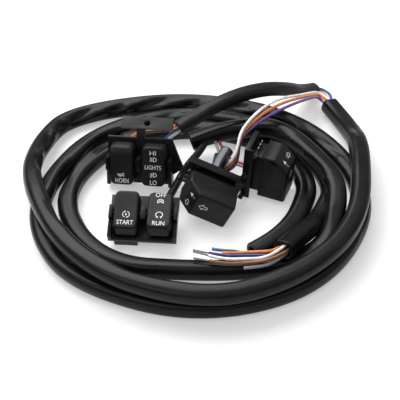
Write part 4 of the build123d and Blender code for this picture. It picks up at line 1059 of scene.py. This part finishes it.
def softened(node, body, material, width, sharp=EDGE_SHARP):
    """A merged copy of a solid's mesh with its hard edges broken by a small round, in place of the solid."""
    mesh = copied_mesh(node, material)
    work = bmesh.new()
    work.from_mesh(mesh)
    bmesh.ops.remove_doubles(work, verts=work.verts, dist=SOLID_MERGE)
    bmesh.ops.dissolve_limit(
        work, angle_limit=math.radians(FLAT_ANGLE), verts=work.verts, edges=work.edges
    )
    if width:
        hard = [
            edge for edge in work.edges
            if len(edge.link_faces) == 2 and edge.calc_face_angle(0.0) > math.radians(sharp)
        ]
        bmesh.ops.bevel(
            work, geom=hard, offset=width * MM, offset_type="OFFSET", segments=2, profile=0.6,
            affect="EDGES", clamp_overlap=True,
        )
    bmesh.ops.triangulate(work, faces=[face for face in work.faces if len(face.verts) > 4])
    for face in work.faces:
        face.smooth = True
    work.to_mesh(mesh)
    work.free()
    mesh.set_sharp_from_angle(angle=math.radians(sharp))
    stands_for(placed(f"{node}_moulded", mesh), node, body)


for node in ("horn_lights_carrier", "start_run_carrier"):
    softened(node, "cluster", PLATE_BLACK, CARRIER_EDGE_ROUND)
for side in ("left", "right"):
    softened(f"{side}_turn_mount_plate", "cluster", PLATE_BLACK, EDGE_ROUND)
    softened(f"{side}_turn_housing", "cluster", BODY_BLACK, EDGE_ROUND)
    softened(f"{side}_turn_button", f"{side}_turn_push", CAP_BLACK, 0.0, BUTTON_SHARP)
softened("bracket_tab", "cluster", BAR_BLACK, EDGE_ROUND)


def pressed_spring(node):
    """A copy of a coil spring, with a mesh of its own, in place of it."""
    mesh = copied_mesh(node, PIN_STEEL)
    points = points_of(mesh)
    piece = placed(f"{node}_coil", mesh)
    stands_for(piece, node, "cluster")
    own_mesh(piece)


for side, module in (("left", LEFT_TURN_FRAME), ("right", RIGHT_TURN_FRAME)):
    pressed_spring(f"{side}_turn_return_spring")
for name, module in (("horn", HORN_FRAME), ("start", START_FRAME)):
    pressed_spring(f"{name}_plunger_spring")

# Finishes of the solids that stay, by a word of their names
NODE_FINISH = {"tag": TAG_BRASS, "bridge": TAG_BRASS, "screw": BAR_BLACK, "board": BOARD_BROWN}
for node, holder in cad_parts.items():
    finish = next((finish for part, finish in NODE_FINISH.items() if part in node), BODY_BLACK)
    for place in holder.material_slots:
        place.material = finish
    if not holder.material_slots:
        holder.data.materials.append(finish)

# Floor, light and camera

BACKDROP_SHARE = 0.38
FLOOR_REACH = 3.0
# The sky's strength over the upward part of its direction, from low to high
SKY_RISE, SKY_STRENGTH = (0.1, 0.95), (0.16, 0.85)


def backdrop_white():
    """White paper that takes shadow as paint does, and a share of plain white where it is looked at.

    Camera, glossy and transmission rays see that share, so that shadows on it stay pale.
    """
    paint = Paint("backdrop_white")
    rays = paint.add("ShaderNodeLightPath").outputs
    looked = rays["Is Camera Ray"]
    for kind in ("Is Glossy Ray", "Is Transmission Ray"):
        looked = paint.add("ShaderNodeMath", {0: looked, 1: rays[kind]}, operation="MAXIMUM").outputs[0]
    share = paint.add("ShaderNodeMath", {0: looked, 1: BACKDROP_SHARE}, operation="MULTIPLY").outputs[0]
    white = paint.add("ShaderNodeEmission").outputs[0]
    both = paint.add("ShaderNodeMixShader", {0: share, 1: paint.shader.outputs[0], 2: white})
    paint.feed(paint.nodes["Material Output"].inputs["Surface"], both.outputs[0])
    plain = {"Base Color": (0.94, 0.94, 0.935), "Roughness": 0.6, "Specular IOR Level": 0.2}
    for key, value in plain.items():
        paint.feed(paint.shader.inputs[key], value)
    return paint.material


corners = FLOOR_REACH * np.array([(-1, -1, 0), (1, -1, 0), (1, 1, 0), (-1, 1, 0)])
filled("floor", corners, [[0, 1, 2, 3]], backdrop_white(), smooth=False)

world = bpy.data.worlds.new("studio")
world.use_nodes = True
scene.world = world
sky = NodeTree(world.node_tree)
direction = sky.add("ShaderNodeTexCoord").outputs["Generated"]
upward = sky.add("ShaderNodeSeparateXYZ", {0: direction}).outputs["Z"]
background = sky.nodes["Background"].inputs
sky.feed(background["Color"], (1.0, 1.0, 1.0))
sky.feed(background["Strength"], sky.spread(upward, *SKY_RISE, *SKY_STRENGTH))


def soft_box(name, place, width, height, power):
    """A rectangular lamp at a place in metres that looks at the origin."""
    lamp = bpy.data.lights.new(name, "AREA")
    lamp.shape = "RECTANGLE"
    lamp.size, lamp.size_y, lamp.energy = width, height, power
    holder = placed(name, lamp)
    holder.location = place
    holder.rotation_euler = (-Vector(place)).to_track_quat("-Z", "Y").to_euler()


soft_box("key", (-0.3, 0.5, 0.85), 1.0, 0.7, 13.0)
soft_box("fill", (-0.6, -0.6, 0.8), 0.8, 0.6, 2.0)

CAMERA_DISTANCE = 0.65
CAMERA_RISE = math.radians(42.0)
CAMERA_LENS, CAMERA_SENSOR = 112.5, 36.0
aim = Vector(metres((0.0, 0.0, 0.0)))
camera = bpy.data.cameras.new("camera")
camera.lens, camera.sensor_width, camera.sensor_fit = CAMERA_LENS, CAMERA_SENSOR, "HORIZONTAL"
camera_holder = placed("camera", camera)
camera_holder.location = aim + CAMERA_DISTANCE * Vector((0.0, -math.cos(CAMERA_RISE), math.sin(CAMERA_RISE)))
camera_holder.rotation_euler = (math.pi / 2 - CAMERA_RISE, 0.0, 0.0)
scene.camera = camera_holder
scene.view_settings.view_transform = "Standard"

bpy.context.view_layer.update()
